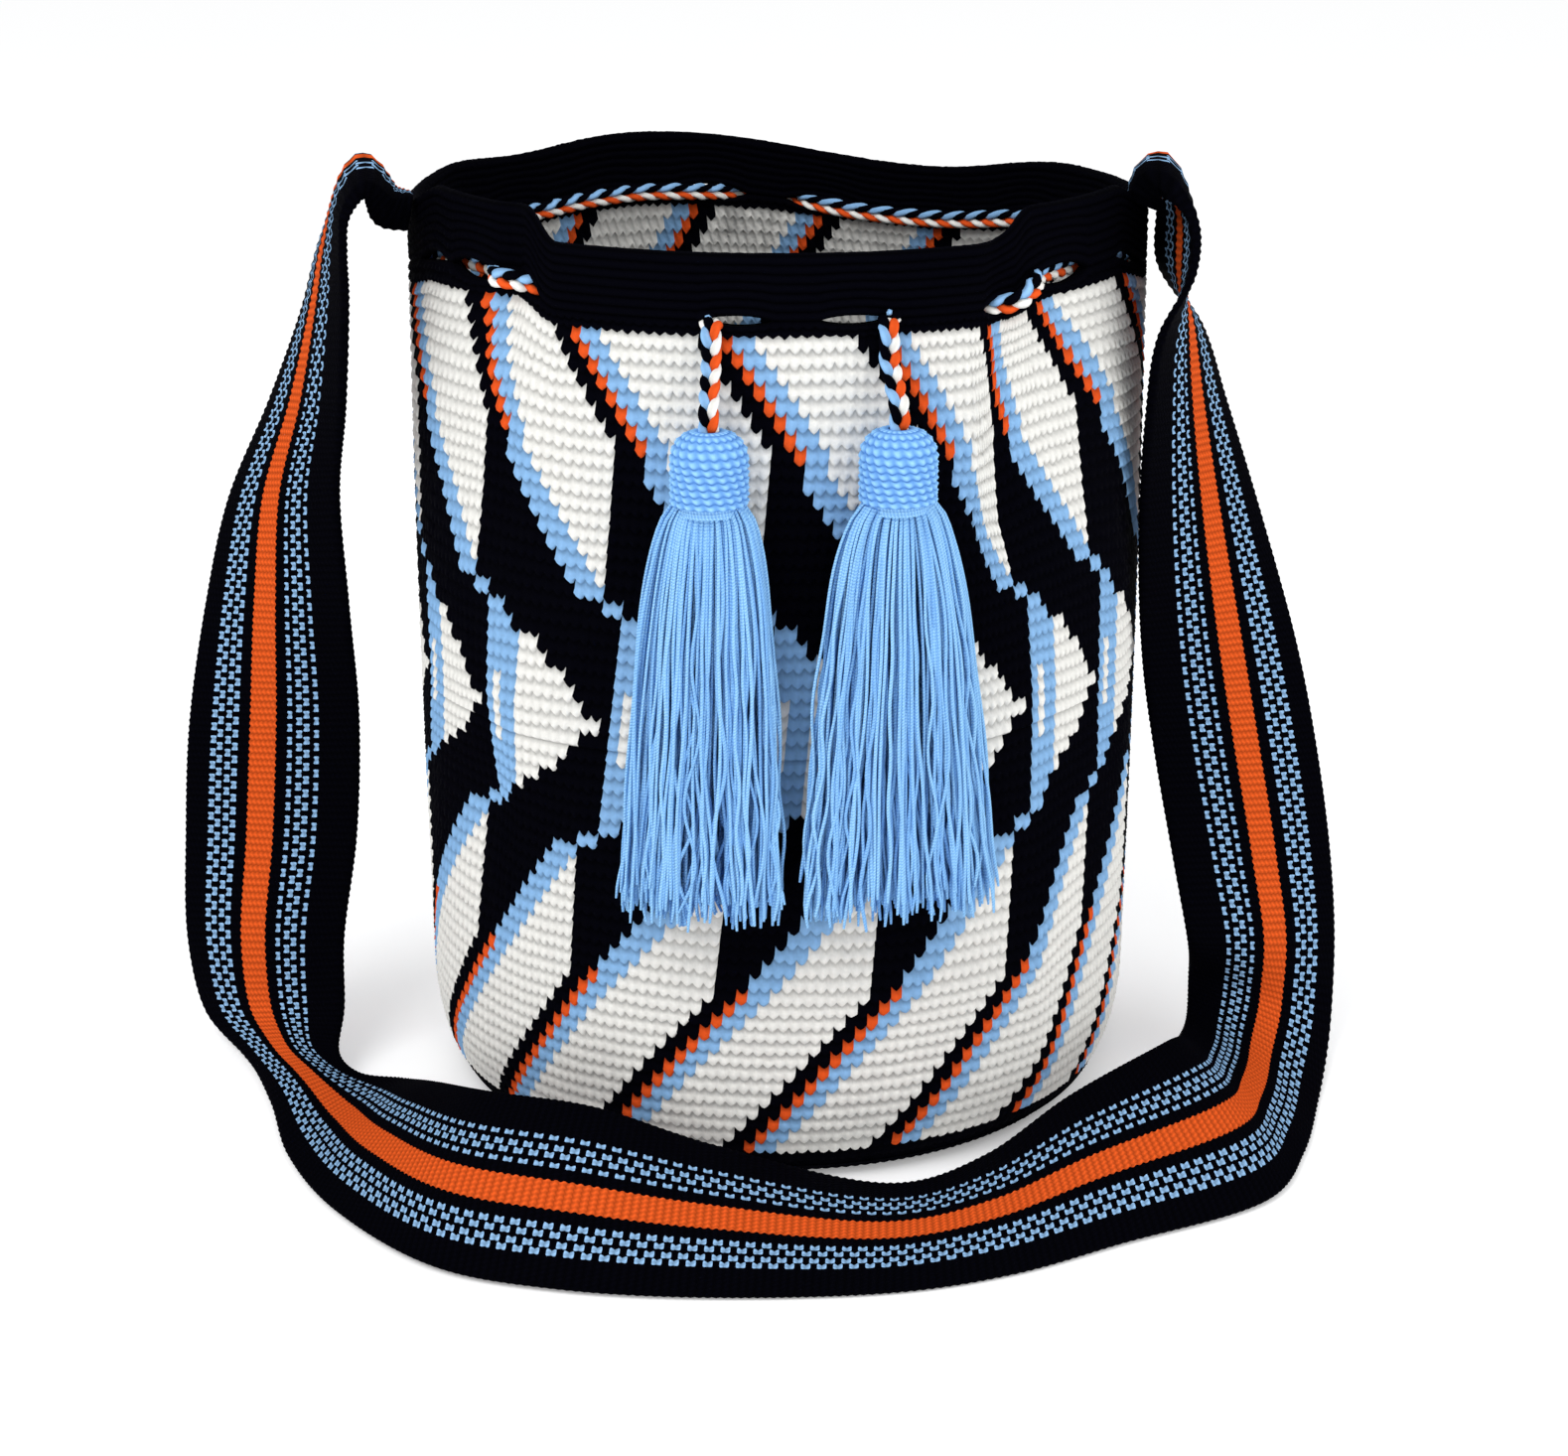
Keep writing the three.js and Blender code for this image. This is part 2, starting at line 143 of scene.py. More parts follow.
def grid_mesh(name, points, uv, material, closed_rows=False):
    """A mesh of quads from a grid of points [row, column], in millimetres. The last column
    joins the first, and uv has one column more than points."""
    rows, cols = points.shape[:2]
    k = np.arange(rows if closed_rows else rows - 1)[:, None]
    j = np.arange(cols)[None, :]
    down, right = (k + 1) % rows, (j + 1) % cols
    faces = np.stack([k * cols + j, down * cols + j, down * cols + right, k * cols + right], -1)
    wide = uv.shape[1]
    ahead, below = (j + 1) % wide, (k + 1) % uv.shape[0]
    places = np.stack([k * wide + j, below * wide + j, below * wide + ahead, k * wide + ahead], -1)
    return quads_mesh(name, points.reshape(-1, 3), faces.reshape(-1, 4), material,
                      uv.reshape(-1, 2)[places.reshape(-1)])


def quads_mesh(name, vertices, faces, material, corner_uv):
    """A smooth-shaded object from vertices in millimetres and an array of quads."""
    mesh = bpy.data.meshes.new(name)
    mesh.vertices.add(len(vertices))
    mesh.vertices.foreach_set("co", (vertices * MM).astype(np.float32).ravel())
    mesh.loops.add(faces.size)
    mesh.loops.foreach_set("vertex_index", faces.astype(np.int32).ravel())
    mesh.polygons.add(len(faces))
    mesh.polygons.foreach_set("loop_start", np.arange(0, faces.size, 4, dtype=np.int32))
    mesh.update(calc_edges=True)
    mesh.shade_smooth()
    layer = mesh.uv_layers.new(name="UVMap")
    layer.data.foreach_set("uv", corner_uv.astype(np.float32).ravel())
    mesh.materials.append(material)
    obj = bpy.data.objects.new(name, mesh)
    scene_objects.link(obj)
    return obj


def paint(obj, face_colours):
    """One linear colour for each quad, kept on its four corners so that edges stay sharp."""
    attribute = obj.data.attributes.new("dye", "FLOAT_COLOR", "CORNER")
    four = np.repeat(np.hstack([face_colours, np.ones((len(face_colours), 1))]), 4, axis=0)
    attribute.data.foreach_set("color", four.astype(np.float32).ravel())


def shade(obj, values):
    """One number for each vertex, for painted shade: how deep it lies between stitches, 0 deep
    and darkest, 1 proud and fully lit.
    """
    attribute = obj.data.attributes.new("depth", "FLOAT", "POINT")
    attribute.data.foreach_set("value", np.asarray(values, np.float32).ravel())


def finish_piece(obj, body, node):
    """Attaches a piece to the body it moves with, and hides the CAD node that it stands for."""
    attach(obj, body)
    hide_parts(node)
    return obj


# %% [markdown]
# The yarn's look is shared: a soft, matt fibre with a fine grain, and painted shade where it dips
# between stitches. The grain and the twist are node groups that give plain values. The colours and
# the shaders stay in each material, so that one yarn can be dyed another way.

# %% Node groups for yarn
def new_group(name, inputs, output):
    """A node group of plain numbers with one output. Gives it, its start and its end."""
    group, kind = bpy.data.node_groups.new(name, "ShaderNodeTree"), "NodeSocketFloat"
    for label, default in inputs.items():
        socket = group.interface.new_socket(label, in_out="INPUT", socket_type=kind)
        socket.default_value = default
    group.interface.new_socket(output, in_out="OUTPUT", socket_type=kind)
    return group, group.nodes.new("NodeGroupInput"), group.nodes.new("NodeGroupOutput")


def uv_parts(tree):
    """The sockets of U and V."""
    where = tree.nodes.new("ShaderNodeTexCoord")
    split = tree.nodes.new("ShaderNodeSeparateXYZ")
    tree.links.new(where.outputs["UV"], split.inputs[0])
    return split.outputs["X"], split.outputs["Y"]


def calc(tree, operation, *values):
    """A math node; each value is a socket or a number. Gives its output socket."""
    node = tree.nodes.new("ShaderNodeMath")
    node.operation = operation
    for i, value in enumerate(values):
        if isinstance(value, (int, float)):
            node.inputs[i].default_value = value
        else:
            tree.links.new(value, node.inputs[i])
    return node.outputs[0]


def grain_group():
    """Fine fibre grain: two sizes of noise added, around 0.5."""
    group, start, end = new_group("fibre_grain", {"Scale": 900.0}, "Height")
    where = group.nodes.new("ShaderNodeTexCoord")
    total = None
    for factor, share in ((1.0, 0.65), (3.1, 0.35)):
        noise = group.nodes.new("ShaderNodeTexNoise")
        noise.inputs["Detail"].default_value = 2
        group.links.new(where.outputs["Object"], noise.inputs["Vector"])
        group.links.new(calc(group, "MULTIPLY", start.outputs["Scale"], factor),
                        noise.inputs["Scale"])
        part = calc(group, "MULTIPLY", noise.outputs["Fac"], share)
        total = part if total is None else calc(group, "ADD", total, part)
    group.links.new(total, end.inputs["Height"])
    return group


def twist_group():
    """Plies of a twisted yarn: a sine of the way round (U) plus the way along (V), 0 to 1."""
    group, start, end = new_group("yarn_twist", {"Plies": 2.0, "Turns": 30.0}, "Height")
    u, v = uv_parts(group)
    u = calc(group, "MULTIPLY", u, start.outputs["Plies"])
    v = calc(group, "MULTIPLY", v, start.outputs["Turns"])
    phase = calc(group, "MULTIPLY", calc(group, "ADD", u, v), 2 * np.pi)
    wave = calc(group, "MULTIPLY_ADD", calc(group, "SINE", phase), 0.5, 0.5)
    group.links.new(wave, end.inputs["Height"])
    return group


GRAIN, TWIST = grain_group(), twist_group()
print("node groups:", GRAIN.name, TWIST.name)

# %% [markdown]
# One function makes every yarn material. The dye is either one colour or the attribute painted
# on the mesh. Depth darkens the dips, which no light reaches between real stitches. Cotton
# has almost no shine, so the highlight is nearly off and black yarn stays black.

# %% Yarn materials
COTTON_SHINE, FINE_GRAIN, YARN_BUMP = 0.01, 900.0, 0.0006
# the last: how fast red, green and blue each go dark in painted shade, here all alike
GRAIN_LIGHT, PLY_LIGHT, PLAIN_SHADE_TINT = (0.3, 0.85), (0.26, 0.8), (1.0, 1.0, 1.0)


def use(tree, group, **values):
    """A group node with these input values. Gives its output socket."""
    node = tree.nodes.new("ShaderNodeGroup")
    node.node_tree = group
    for key, value in values.items():
        node.inputs[key].default_value = value
    return node.outputs[0]


def mixed(tree, factor, a, b, blend="MIX"):
    """A colour mix node; factor, a and b are sockets, numbers or colours."""
    node = tree.nodes.new("ShaderNodeMix")
    node.data_type = "RGBA"
    node.blend_type = blend
    for socket, value in ((node.inputs[0], factor), (node.inputs[6], a), (node.inputs[7], b)):
        if isinstance(value, bpy.types.NodeSocket):
            tree.links.new(value, socket)
        else:
            socket.default_value = value if np.isscalar(value) else (*value, 1)
    return node.outputs[2]


def dress(tree, colour, light, shade_tint, height, strength, distance, roughness):
    """The end that every yarn material shares: colour times painted light and shade, with one
    exponent for each of red, green and blue, for how fast each goes dark in that painted shade,
    and a bump from height."""
    shader = tree.nodes["Principled BSDF"]
    grey = tree.nodes.new("ShaderNodeCombineXYZ")
    for i in range(3):
        tree.links.new(calc(tree, "POWER", light, shade_tint[i]), grey.inputs[i])
    tree.links.new(mixed(tree, 1.0, colour, grey.outputs[0], "MULTIPLY"),
                   shader.inputs["Base Color"])
    bump = tree.nodes.new("ShaderNodeBump")
    bump.inputs["Strength"].default_value = strength
    bump.inputs["Distance"].default_value = distance
    tree.links.new(height, bump.inputs["Height"])
    tree.links.new(bump.outputs[0], shader.inputs["Normal"])
    shader.inputs["Roughness"].default_value = roughness
    shader.inputs["Specular IOR Level"].default_value = COTTON_SHINE


def new_material(name):
    """An empty material, its tree and the socket of the depth attribute."""
    material = bpy.data.materials.new(name)
    material.use_nodes = True
    tree = material.node_tree
    depth = tree.nodes.new("ShaderNodeAttribute")
    depth.attribute_name = "depth"
    return material, tree, depth.outputs["Fac"]


def yarn_material(name, dye=None, floor=0.55, grain=FINE_GRAIN, plies=0.0, turns=0.0,
                  relief=0.25, shade_tint=PLAIN_SHADE_TINT):
    """Yarn of one dye, or painted, that keeps floor of its light in the deepest dips."""
    material, tree, depth = new_material(name)
    if dye is None:
        source = tree.nodes.new("ShaderNodeAttribute")
        source.attribute_name = "dye"
    else:
        source = tree.nodes.new("ShaderNodeRGB")
        source.outputs[0].default_value = (*dye, 1)
    # painted shade: the colour darkens in the dips, down to floor of its light
    light = calc(tree, "MULTIPLY_ADD", depth, 1 - floor, floor)
    height = use(tree, GRAIN, Scale=grain)
    light = calc(tree, "MULTIPLY", light, calc(tree, "MULTIPLY_ADD", height, *GRAIN_LIGHT))
    # twisted yarn: painted shade between the plies, and a bump
    if plies:
        strand = use(tree, TWIST, Plies=plies, Turns=turns)
        light = calc(tree, "MULTIPLY", light, calc(tree, "MULTIPLY_ADD", strand, *PLY_LIGHT))
        height = calc(tree, "ADD", calc(tree, "MULTIPLY", height, 0.4), strand)
    dress(tree, source.outputs[0], light, shade_tint, height, relief, YARN_BUMP, 0.9)
    return material


WHITE, BLACK = linear(244, 243, 238), linear(4, 4, 10)
BLUE, ORANGE = linear(142, 188, 234), linear(232, 88, 36)
PALETTE = np.array([BLACK, WHITE, BLUE, ORANGE])
black_, white_, blue_, orange_ = range(4)
# the blue yarn's painted shade turns deeper blue: red and green go dark faster than blue
TASSEL_BLUE, BLUE_SHADE_TINT = linear(158, 212, 255), (1.5, 1.1, 0.5)
crochet_yarn = yarn_material("crochet_yarn", floor=0.55, relief=0.35)
print("palette, linear:", PALETTE.round(3).tolist())

# %% [markdown]
# The body's plain form is the CAD wall: a rounded base edge, a nearly straight wall, and a soft
# rim that is pulled up and in at both sides. The same formula is used here, so that the crochet
# lies where the CAD solid is. Only the two creases of the front are added to it.

# %% The body's form
RIM, WALL, CORNER, BASE_R, BODY_R, BULGE = 314.0, 4.0, 40.0, 107.0, 125.0, 1.0
SIDE_RISE, SIDE_SETBACK, REAR_WAVE, PULL = 9.0, 5.0, 5.0, 63.0
SIDE_FROM, SIDE_TO, WAVE_SPAN, WAVE_FADE = (33, 42), (66, 82), 52, (30, 70)
REAR_DIP, LEFT_LIFT = (-2.4, -28.0, 26.0), (3.0, 66.0, 15.0)
EYELET_Z, EYELET_PITCH, EYELET_PHASE = 294.0, 20.0, 12.0
CREASES, CREASE_Z = ((34.0, 2.4, 3.0), (-43.5, 2.4, 2.2)), (205.0, 285.0)


def wrapped(angle):
    return (np.asarray(angle, float) + 180) % 360 - 180


def place(angle, radius, z):
    """Points at an angle round the bag (0 in front, + to the right), a radius and a height."""
    angle, radius, z = np.broadcast_arrays(*(np.asarray(x, float) for x in (angle, radius, z)))
    a = np.radians(angle)
    return np.stack([radius * np.sin(a), -radius * np.cos(a), z], -1)


def wall_radius(z):
    """A quarter ellipse up to the corner's height, then a wall with a slight bulge."""
    z = np.asarray(z, float)
    t = 1 - np.clip(z, 0, CORNER) / CORNER
    up = np.clip((z - CORNER) / (RIM - CORNER), 0, 1)
    low = BASE_R + (BODY_R - BASE_R) * np.sqrt(1 - t * t)
    return np.where(z < CORNER, low, BODY_R + BULGE * np.sin(np.pi * up))


def on_body(angle, radius, z):
    """A place on the round bag, moved by the pull of the soft rim: raised and set back at the
    sides, waved at the rear, and tucked in at two creases, each a bell curve of the angle."""
    a, rear = np.abs(wrapped(angle)), wrapped(np.asarray(angle, float) - 180)
    side = smoothstep(a, *SIDE_FROM) * (1 - smoothstep(a, *SIDE_TO))
    wave = np.sin(rear * np.pi / WAVE_SPAN) * (1 - smoothstep(np.abs(rear), *WAVE_FADE))
    pull = smoothstep(z, RIM - PULL, RIM)
    rise = SIDE_RISE * side + REAR_WAVE * wave
    for height, at, wide in (REAR_DIP, LEFT_LIFT):
        rise = rise + height * np.exp(-((rear - at) / wide) ** 2)
    tuck = sum(deep * np.exp(-(wrapped(angle - at) / wide) ** 2) for at, wide, deep in CREASES)
    tuck = tuck * smoothstep(z, *CREASE_Z)
    return place(angle, radius - SIDE_SETBACK * side * pull - tuck, z + rise * pull)


# %% [markdown]
# Tapestry crochet carries all its colours along and swaps them stitch by stitch, so the pattern
# is a chart of columns and rows. Sixteen leaves of fourteen stitches go round. Each leaf has an
# upper blade that runs down to the right, a middle blade, and a lower one that runs back. Rules
# for each run of rows give every stitch its colour, as a maker would count them.

# %% The colour chart
COLUMNS, ROWS, REPEAT = 224, 57, 14
COLUMN_DEG, COURSE = 360 / COLUMNS, 4.877
CHART_TOP, LEAN, FIRST_ANGLE = 289.0, 0.13, -35.1
LINK_ROWS, MIDDLE_TOP, LOWER_TOP, STRIPE_ROWS = (18, 34), 19, 35, (8, 44)
MIDDLE_BLUE = [2, 3, 4, 4, 4, 4, 4, 4, 4, 4, 4, 4, 4, 3, 2]
MIDDLE_WHITE = [0, 0, 2, 3, 5, 6, 7, 9, 7, 6, 5, 3, 1, 0, 0]


def chart():
    """Colour numbers for [row, column]. Each rule fills columns from a to b, counted on past
    the repeat, and the repeat then goes round the bag."""
    cells = np.zeros((ROWS, REPEAT), int)

    def run(row, a, b, colour):
        if b > a:
            cells[row, np.arange(a, b) % REPEAT] = colour

    def stripe(row, start):
        run(row, start + 3, start + 12, white_)
        run(row, start + 1, start + 3, blue_)
        run(row, start, start + 1, orange_)

    for k in range(ROWS):
        if k < STRIPE_ROWS[0]:
            stripe(k, k + 3)
        elif k < LINK_ROWS[0]:
            run(k, k + 5, 22, white_)
            run(k, max(k + 2, 11), k + 5, blue_)
        elif k in LINK_ROWS:
            run(k, 22, 24, blue_)
        elif k < LINK_ROWS[1]:
            m = k - MIDDLE_TOP
            edge = 24 + MIDDLE_BLUE[m]
            run(k, 24, edge, blue_)
            run(k, edge, edge + MIDDLE_WHITE[m], white_)
            if 5 <= m <= 9:
                run(k, 25, 26, white_)
        elif k < STRIPE_ROWS[1]:
            start = 19 - (k - LOWER_TOP)
            run(k, start + 3, 22, white_)
            run(k, start, start + 3, blue_)
        else:
            stripe(k, 54 - k)
    return np.tile(cells, (1, COLUMNS // REPEAT))


CHART = chart()
print("stitches of each colour:", np.bincount(CHART.ravel()).tolist())

# %% [markdown]
# A soft bag folds, and its folds carry the stitches along. Two tables say how far, at ten rows
# from the top down and thirteen places round the front: how many degrees a stitch is turned,
# and how many millimetres it is lifted. They were read off the photo, leaf by leaf.

# %% Folds of the wall
FOLD_AT = [-130, -75, -62, -50, -42, -30, -10, 18, 30, 43, 50, 57, 65, 75, 150]
FOLD_ROWS = [0, 4, 8, 13, 18.5, 26, 34.5, 44.5, 50, 57]
FOLD_TURN = [
    [-2, -1, 4.4, 2, -0.3, 0, 0, -2, -7.5, -13, -17, -19, -15],
    [-6, -3, 0, -1.2, -0.5, 0.5, 0.6, -1, -9.5, -13, -17, -18, -14],
    [-7, -3, -1, -2.2, 0, 0.3, 1, 0, -10, -13.3, -15, -16.5, -12],
    [-5, -3, -2, -1.8, 0, 0.5, 0.8, -0.5, -8.8, -10.8, -12.2, -13, -10],
    [-4, -3.5, -3.8, -2.5, 0, 0, 0.5, 0, -4.6, -5.8, -7.6, -9, -8],
    [-2, -1, -2.8, -3.1, -1, 0, 0.5, 0, -1.5, -2.8, -4.5, -6.5, -6],
    [-3.4, 0, 2.5, -1, -2, 0, 0.5, 0.5, 0.5, -1.5, -3, -4.2, -4],
    [-2, -1.5, -1, -1.5, -2, -0.6, 0.8, 1.2, 2, 0, -2, -3.2, -4],
    [-1, -1, -0.8, -1, -1.5, -0.5, 1, 1.6, 2.4, 0.8, -1, -2.6, -3.5],
    [0, 0, -0.5, -0.5, -1, -0.5, 1.3, 2, 2.8, 1.5, 0, -2, -3],
]
FOLD_LIFT = [
    [-2, -2, 0, 0, 0, 0, 0, 0, 0, -1, -2, 0, 0],
    [2, 2, 2, 2, 1, 0, 0, 1, 4, 5, 5, 5, 5],
    [3, 2.5, 3, 2, 0, 0, -2, -2, 1, 4.5, 6, 6.8, 5.5],
    [3, 2, 3.5, 2, 0, 0, 0, 0, 0, 4, 6, 6.5, 5],
    [0, -1, -1.5, 0, 0.5, 0, 0, 0, 2.5, 3, 4, 4, 0],
    [-3, -3, -2, -3, -1, 0, 0, 0, 2.4, 2.4, 2.4, 2.4, 0],
    [2, 4, 5, 0, -1.8, 0, 0, 0, 0, 3, 4, 5, 5],
    [0, 0, -1, -2, -0.6, -2, -3.8, -4, -4.4, 0, 3, 3.2, 3],
    [0, -1, -1, -1, -1, 0, -1, -1, -2, 0, 1, 1, 1],
    [0] * 13,
]


def folded(angle, v, table):
    """A table's value at each angle and row: straight lines between its entries, and 0 at
    the sides and the back."""
    rows = [np.interp(wrapped(angle), FOLD_AT, [0, *line, 0]) for line in table]
    at = np.interp(v, FOLD_ROWS, np.arange(len(rows)))[..., None]
    shares = np.clip(1 - np.abs(at - np.arange(len(rows))), 0, 1)
    return sum(shares[..., i] * row for i, row in enumerate(rows))


# %% [markdown]
# The eyelets are one open course under the rim band. The drawstring passes through some of
# them, which holds those wider open. The folds of the front move a few of them along.

# %% Eyelets between wall and rim band
CROSSED = (-108, -128, -168, 172, 132, 112)
WIDE_SLIT, NARROW_SLIT = (0.0, 6.6, 2.6), (0.0, 5.7, 1.5)
# moved eyelets: shift and half width in degrees, half height in mm
MOVED = {-8: (2.5, 5.0, 1.6), 12: (-1.0, 5.0, 1.5), -28: (-11.5, 2.8, 2.2),
         -48: (-5.5, 6.6, 2.6), 32: (2.0, 2.8, 2.2), 52: (-3.5, 6.8, 2.8)}


def eyelet_gap(angle):
    """Half the height of the slit at an angle: a lens at each eyelet, wider where the
    drawstring goes through it, and closed at the posts between."""
    gap = 0.0
    for k in range(int(360 / EYELET_PITCH)):
        eyelet = float(wrapped(EYELET_PHASE + k * EYELET_PITCH))
        usual = WIDE_SLIT if round(eyelet) in CROSSED else NARROW_SLIT
        shift, half, height = MOVED.get(round(eyelet), usual)
        off = wrapped(np.asarray(angle) - eyelet - shift) / half
        gap = np.maximum(gap, height * np.clip(1 - off**2, 0, 1) ** 0.8)
    return gap


# %% [markdown]
# Each stitch hangs a little over the row under it, so its lower edge is a rounded U and the
# lower row's colour shows as a small tip between two stitches. The grid's own lines follow that
# edge: four columns and three rings of vertices for each stitch. The STAGE values say, for each
# ring, where it lies in its row, how far it stands out, how round it is and how much painted
# light it gets: painted shade in the dip under the row above, full light on the bead.

# %% The crocheted wall
PER_STITCH, UNEVEN, STITCH_SHADE = 4, 0.045, 0.13
STAGE_AT = np.array([0.0, 0.35, 0.8])
STAGE_OUT = np.array([-0.45, 0.15, 0.65])
STAGE_BEAD = np.array([0.0, 0.1, 0.2])
# painted light of each ring: dark painted shade in the dip, full light on the bead
STAGE_LIGHT = np.array([0.08, 0.76, 1.0])
TIP = np.array([[0.28, 0.02, -0.1, 0.02], [0.06, 0.0, 0.0, 0.0], [0.22, 0.02, -0.05, 0.02]])
LIP_ROWS, BASE_ROWS = 2, 4


def wall_z(v, angle):
    """Height of row coordinate v: rows of equal height in the chart, two that fit under the
    eyelets' edge above it, and four that go round the base edge below it."""
    top = EYELET_Z - eyelet_gap(angle)
    lip = CHART_TOP + (top - CHART_TOP) * np.clip(-v / LIP_ROWS, 0, 1)
    bottom = CHART_TOP - ROWS * COURSE
    last = np.clip((v - ROWS) / BASE_ROWS, 0, 1)
    z = np.where(v < 0, lip, CHART_TOP - np.minimum(v, ROWS) * COURSE)
    return z - bottom * (1 - (1 - last) ** 1.6)


def crochet_wall(name, first, last, inside=False):
    """The wall between two rows. v counts rows down, c counts columns round. The inside has
    two columns and two rings a stitch, the outside four and three."""
    step, stages = (2, [0, 2]) if inside else (1, [0, 1, 2])
    per_course, per_stitch = len(stages), PER_STITCH // step
    rings = np.arange((last - first) * per_course + 1)
    stage = np.array(stages)[rings % per_course]
    v = first + rings // per_course + STAGE_AT[stage]
    j = np.arange(COLUMNS * per_stitch)
    c, s = j / per_stitch, j % per_stitch
    fade = np.clip(np.minimum(v - first, last - v) if inside or first > -LIP_ROWS else last - v,
                   0, 1)
    fade = np.where(v == first, 0.0, fade)[:, None]
    wobble = rng.normal(0, 0.05, (len(v), len(c)))
    uneven = rng.normal(0, UNEVEN, (len(v), COLUMNS)).repeat(per_stitch, axis=1)
    row = v[:, None] - (TIP[stage][:, s * step] + wobble * 0.5 + uneven) * fade
    straight = FIRST_ANGLE + (c[None, :] - LEAN * v[:, None]) * COLUMN_DEG
    angle = straight + folded(straight, row, FOLD_TURN)
    low = np.interp(v, [-LIP_ROWS, 0], [0, 1])[:, None]
    z = wall_z(row, angle) + folded(straight, row, FOLD_LIFT) * low
    across = np.cos(2 * np.pi * (s / per_stitch - 0.5))[None, :]
    out = STAGE_OUT[stage][:, None] + across * STAGE_BEAD[stage][:, None]
    out = out + wobble + uneven
    if inside:
        out = -out - WALL
    points = on_body(angle, wall_radius(z) + out, z)
    uv = uv_grid(np.arange(COLUMNS * per_stitch + 1) / per_stitch, v)
    faces_v = first + rings[:-1] // per_course
    inner = (faces_v >= 0) & (faces_v < ROWS)
    cells = np.where(inner[:, None], CHART[np.clip(faces_v, 0, ROWS - 1)], black_)
    colours = np.repeat(cells, per_stitch, axis=1)
    # painted shade: each ring's painted light, less towards the sides of each stitch
    deep = STAGE_LIGHT[stage][:, None] + STITCH_SHADE * (across - 1)
    if inside:
        points, uv = points[:, ::-1], uv[:, ::-1]
        colours, deep = np.roll(colours[:, ::-1], -1, axis=1), deep[:, ::-1]
    obj = grid_mesh(name, points, uv, crochet_yarn)
    paint(obj, PALETTE[colours.ravel()])
    shade(obj, np.clip(deep, 0, 1))
    print(name, "faces:", len(obj.data.polygons))
    return finish_piece(obj, "root", "bag_body")


wall_upper = crochet_wall("wall_upper", -LIP_ROWS, 28)
wall_lower = crochet_wall("wall_lower", 28, ROWS + BASE_ROWS)
wall_inside = crochet_wall("wall_inside", -LIP_ROWS, ROWS, inside=True)

# %% [markdown]
# Above the eyelets is a band of finer, plain black courses, seen edge on as thin ridges. It is
# one closed ring: outer face, rounded top, inner face, and an underside that arches over each
# slit. Under it, a narrow lip closes the wall between its outer and inner faces.

# %% Rim band and wall lip
RIDGES, RIDGE_DEPTH = 7, 0.75
LOOP_COLUMNS = 672
plain_black = yarn_material("black_yarn", dye=BLACK, floor=0.35, relief=0.35)


def ring_piece(name, radius, z, depth):
    """A closed ring from a profile whose height may change with the angle."""
    angle = np.arange(LOOP_COLUMNS) * 360 / LOOP_COLUMNS
    rough = rng.normal(0, 0.09, (len(radius), LOOP_COLUMNS))
    stitch = 0.16 * np.cos(np.radians(angle * COLUMNS))
    r = radius[:, None] + rough + stitch[None, :] * (depth > 0.5)[:, None]
    points = on_body(angle[None, :], r, z(angle) + rough * 0.6)
    uv = uv_grid(np.arange(LOOP_COLUMNS + 1) / 3, np.arange(len(radius) + 1.0))
    obj = grid_mesh(name, points, uv, plain_black, closed_rows=True)
    shade(obj, np.repeat(depth, LOOP_COLUMNS))
    print(name, "faces:", len(obj.data.polygons))
    return finish_piece(obj, "root", "bag_body")


def band_piece():
    """Outer face from top to bottom, underside, inner face from bottom to top, then the top."""
    steps = RIDGES * 4
    down = np.arange(steps + 1) / steps
    ridge = RIDGE_DEPTH * np.abs(np.sin(np.pi * RIDGES * down)) ** 0.7
    middle = BODY_R + 0.5 - WALL / 2
    outer, inner = middle + 1.5 + ridge, (middle - 1.2 - ridge)[::-1]
    radius = np.concatenate([outer, [middle], inner, [middle]])
    share = np.concatenate([down, [1.0], down[::-1], [0.0]])
    shift = np.concatenate([0 * down, [-0.3], 0 * down, [0.7]])
    # painted shade: dark in the grooves between ridges, half on the underside, full light on the
    # top
    depth = np.concatenate([ridge / RIDGE_DEPTH, [0.5], (ridge / RIDGE_DEPTH)[::-1], [1.0]])

    def height(angle):
        low = EYELET_Z + eyelet_gap(angle)[None, :]
        return RIM + (low - RIM) * share[:, None] + shift[:, None]

    return ring_piece("rim_band", radius, height, depth)


def lip_piece():
    """The rounded edge under the slits, from the inner face over to the outer one."""
    turn = np.radians(np.linspace(240, -60, 9))
    radius = BODY_R + 0.5 - WALL / 2 + 2.1 * np.cos(turn)
    rise = (1.1 * np.sin(turn) - 1.15)[:, None]
    # the lip gets a little painted shade all over
    return ring_piece("wall_lip", radius, lambda a: EYELET_Z - eyelet_gap(a)[None, :] + rise,
                      np.full(9, 0.8))


rim_band = band_piece()
wall_lip = lip_piece()

# %% [markdown]
# The base is crocheted from its centre outwards in rounds. Only its edge shows in the photo, so
# its pattern is a plain one in the same yarns: short rays of the leaf's colours on black.

# %% Base
BASE_ROUNDS, BASE_COLUMNS, FLOOR_Z = 22, 224, 5.0
BASE_TURN, RAY_LENGTH, RAYS_FROM, RAYS_TO = 40, 6, 3, 15


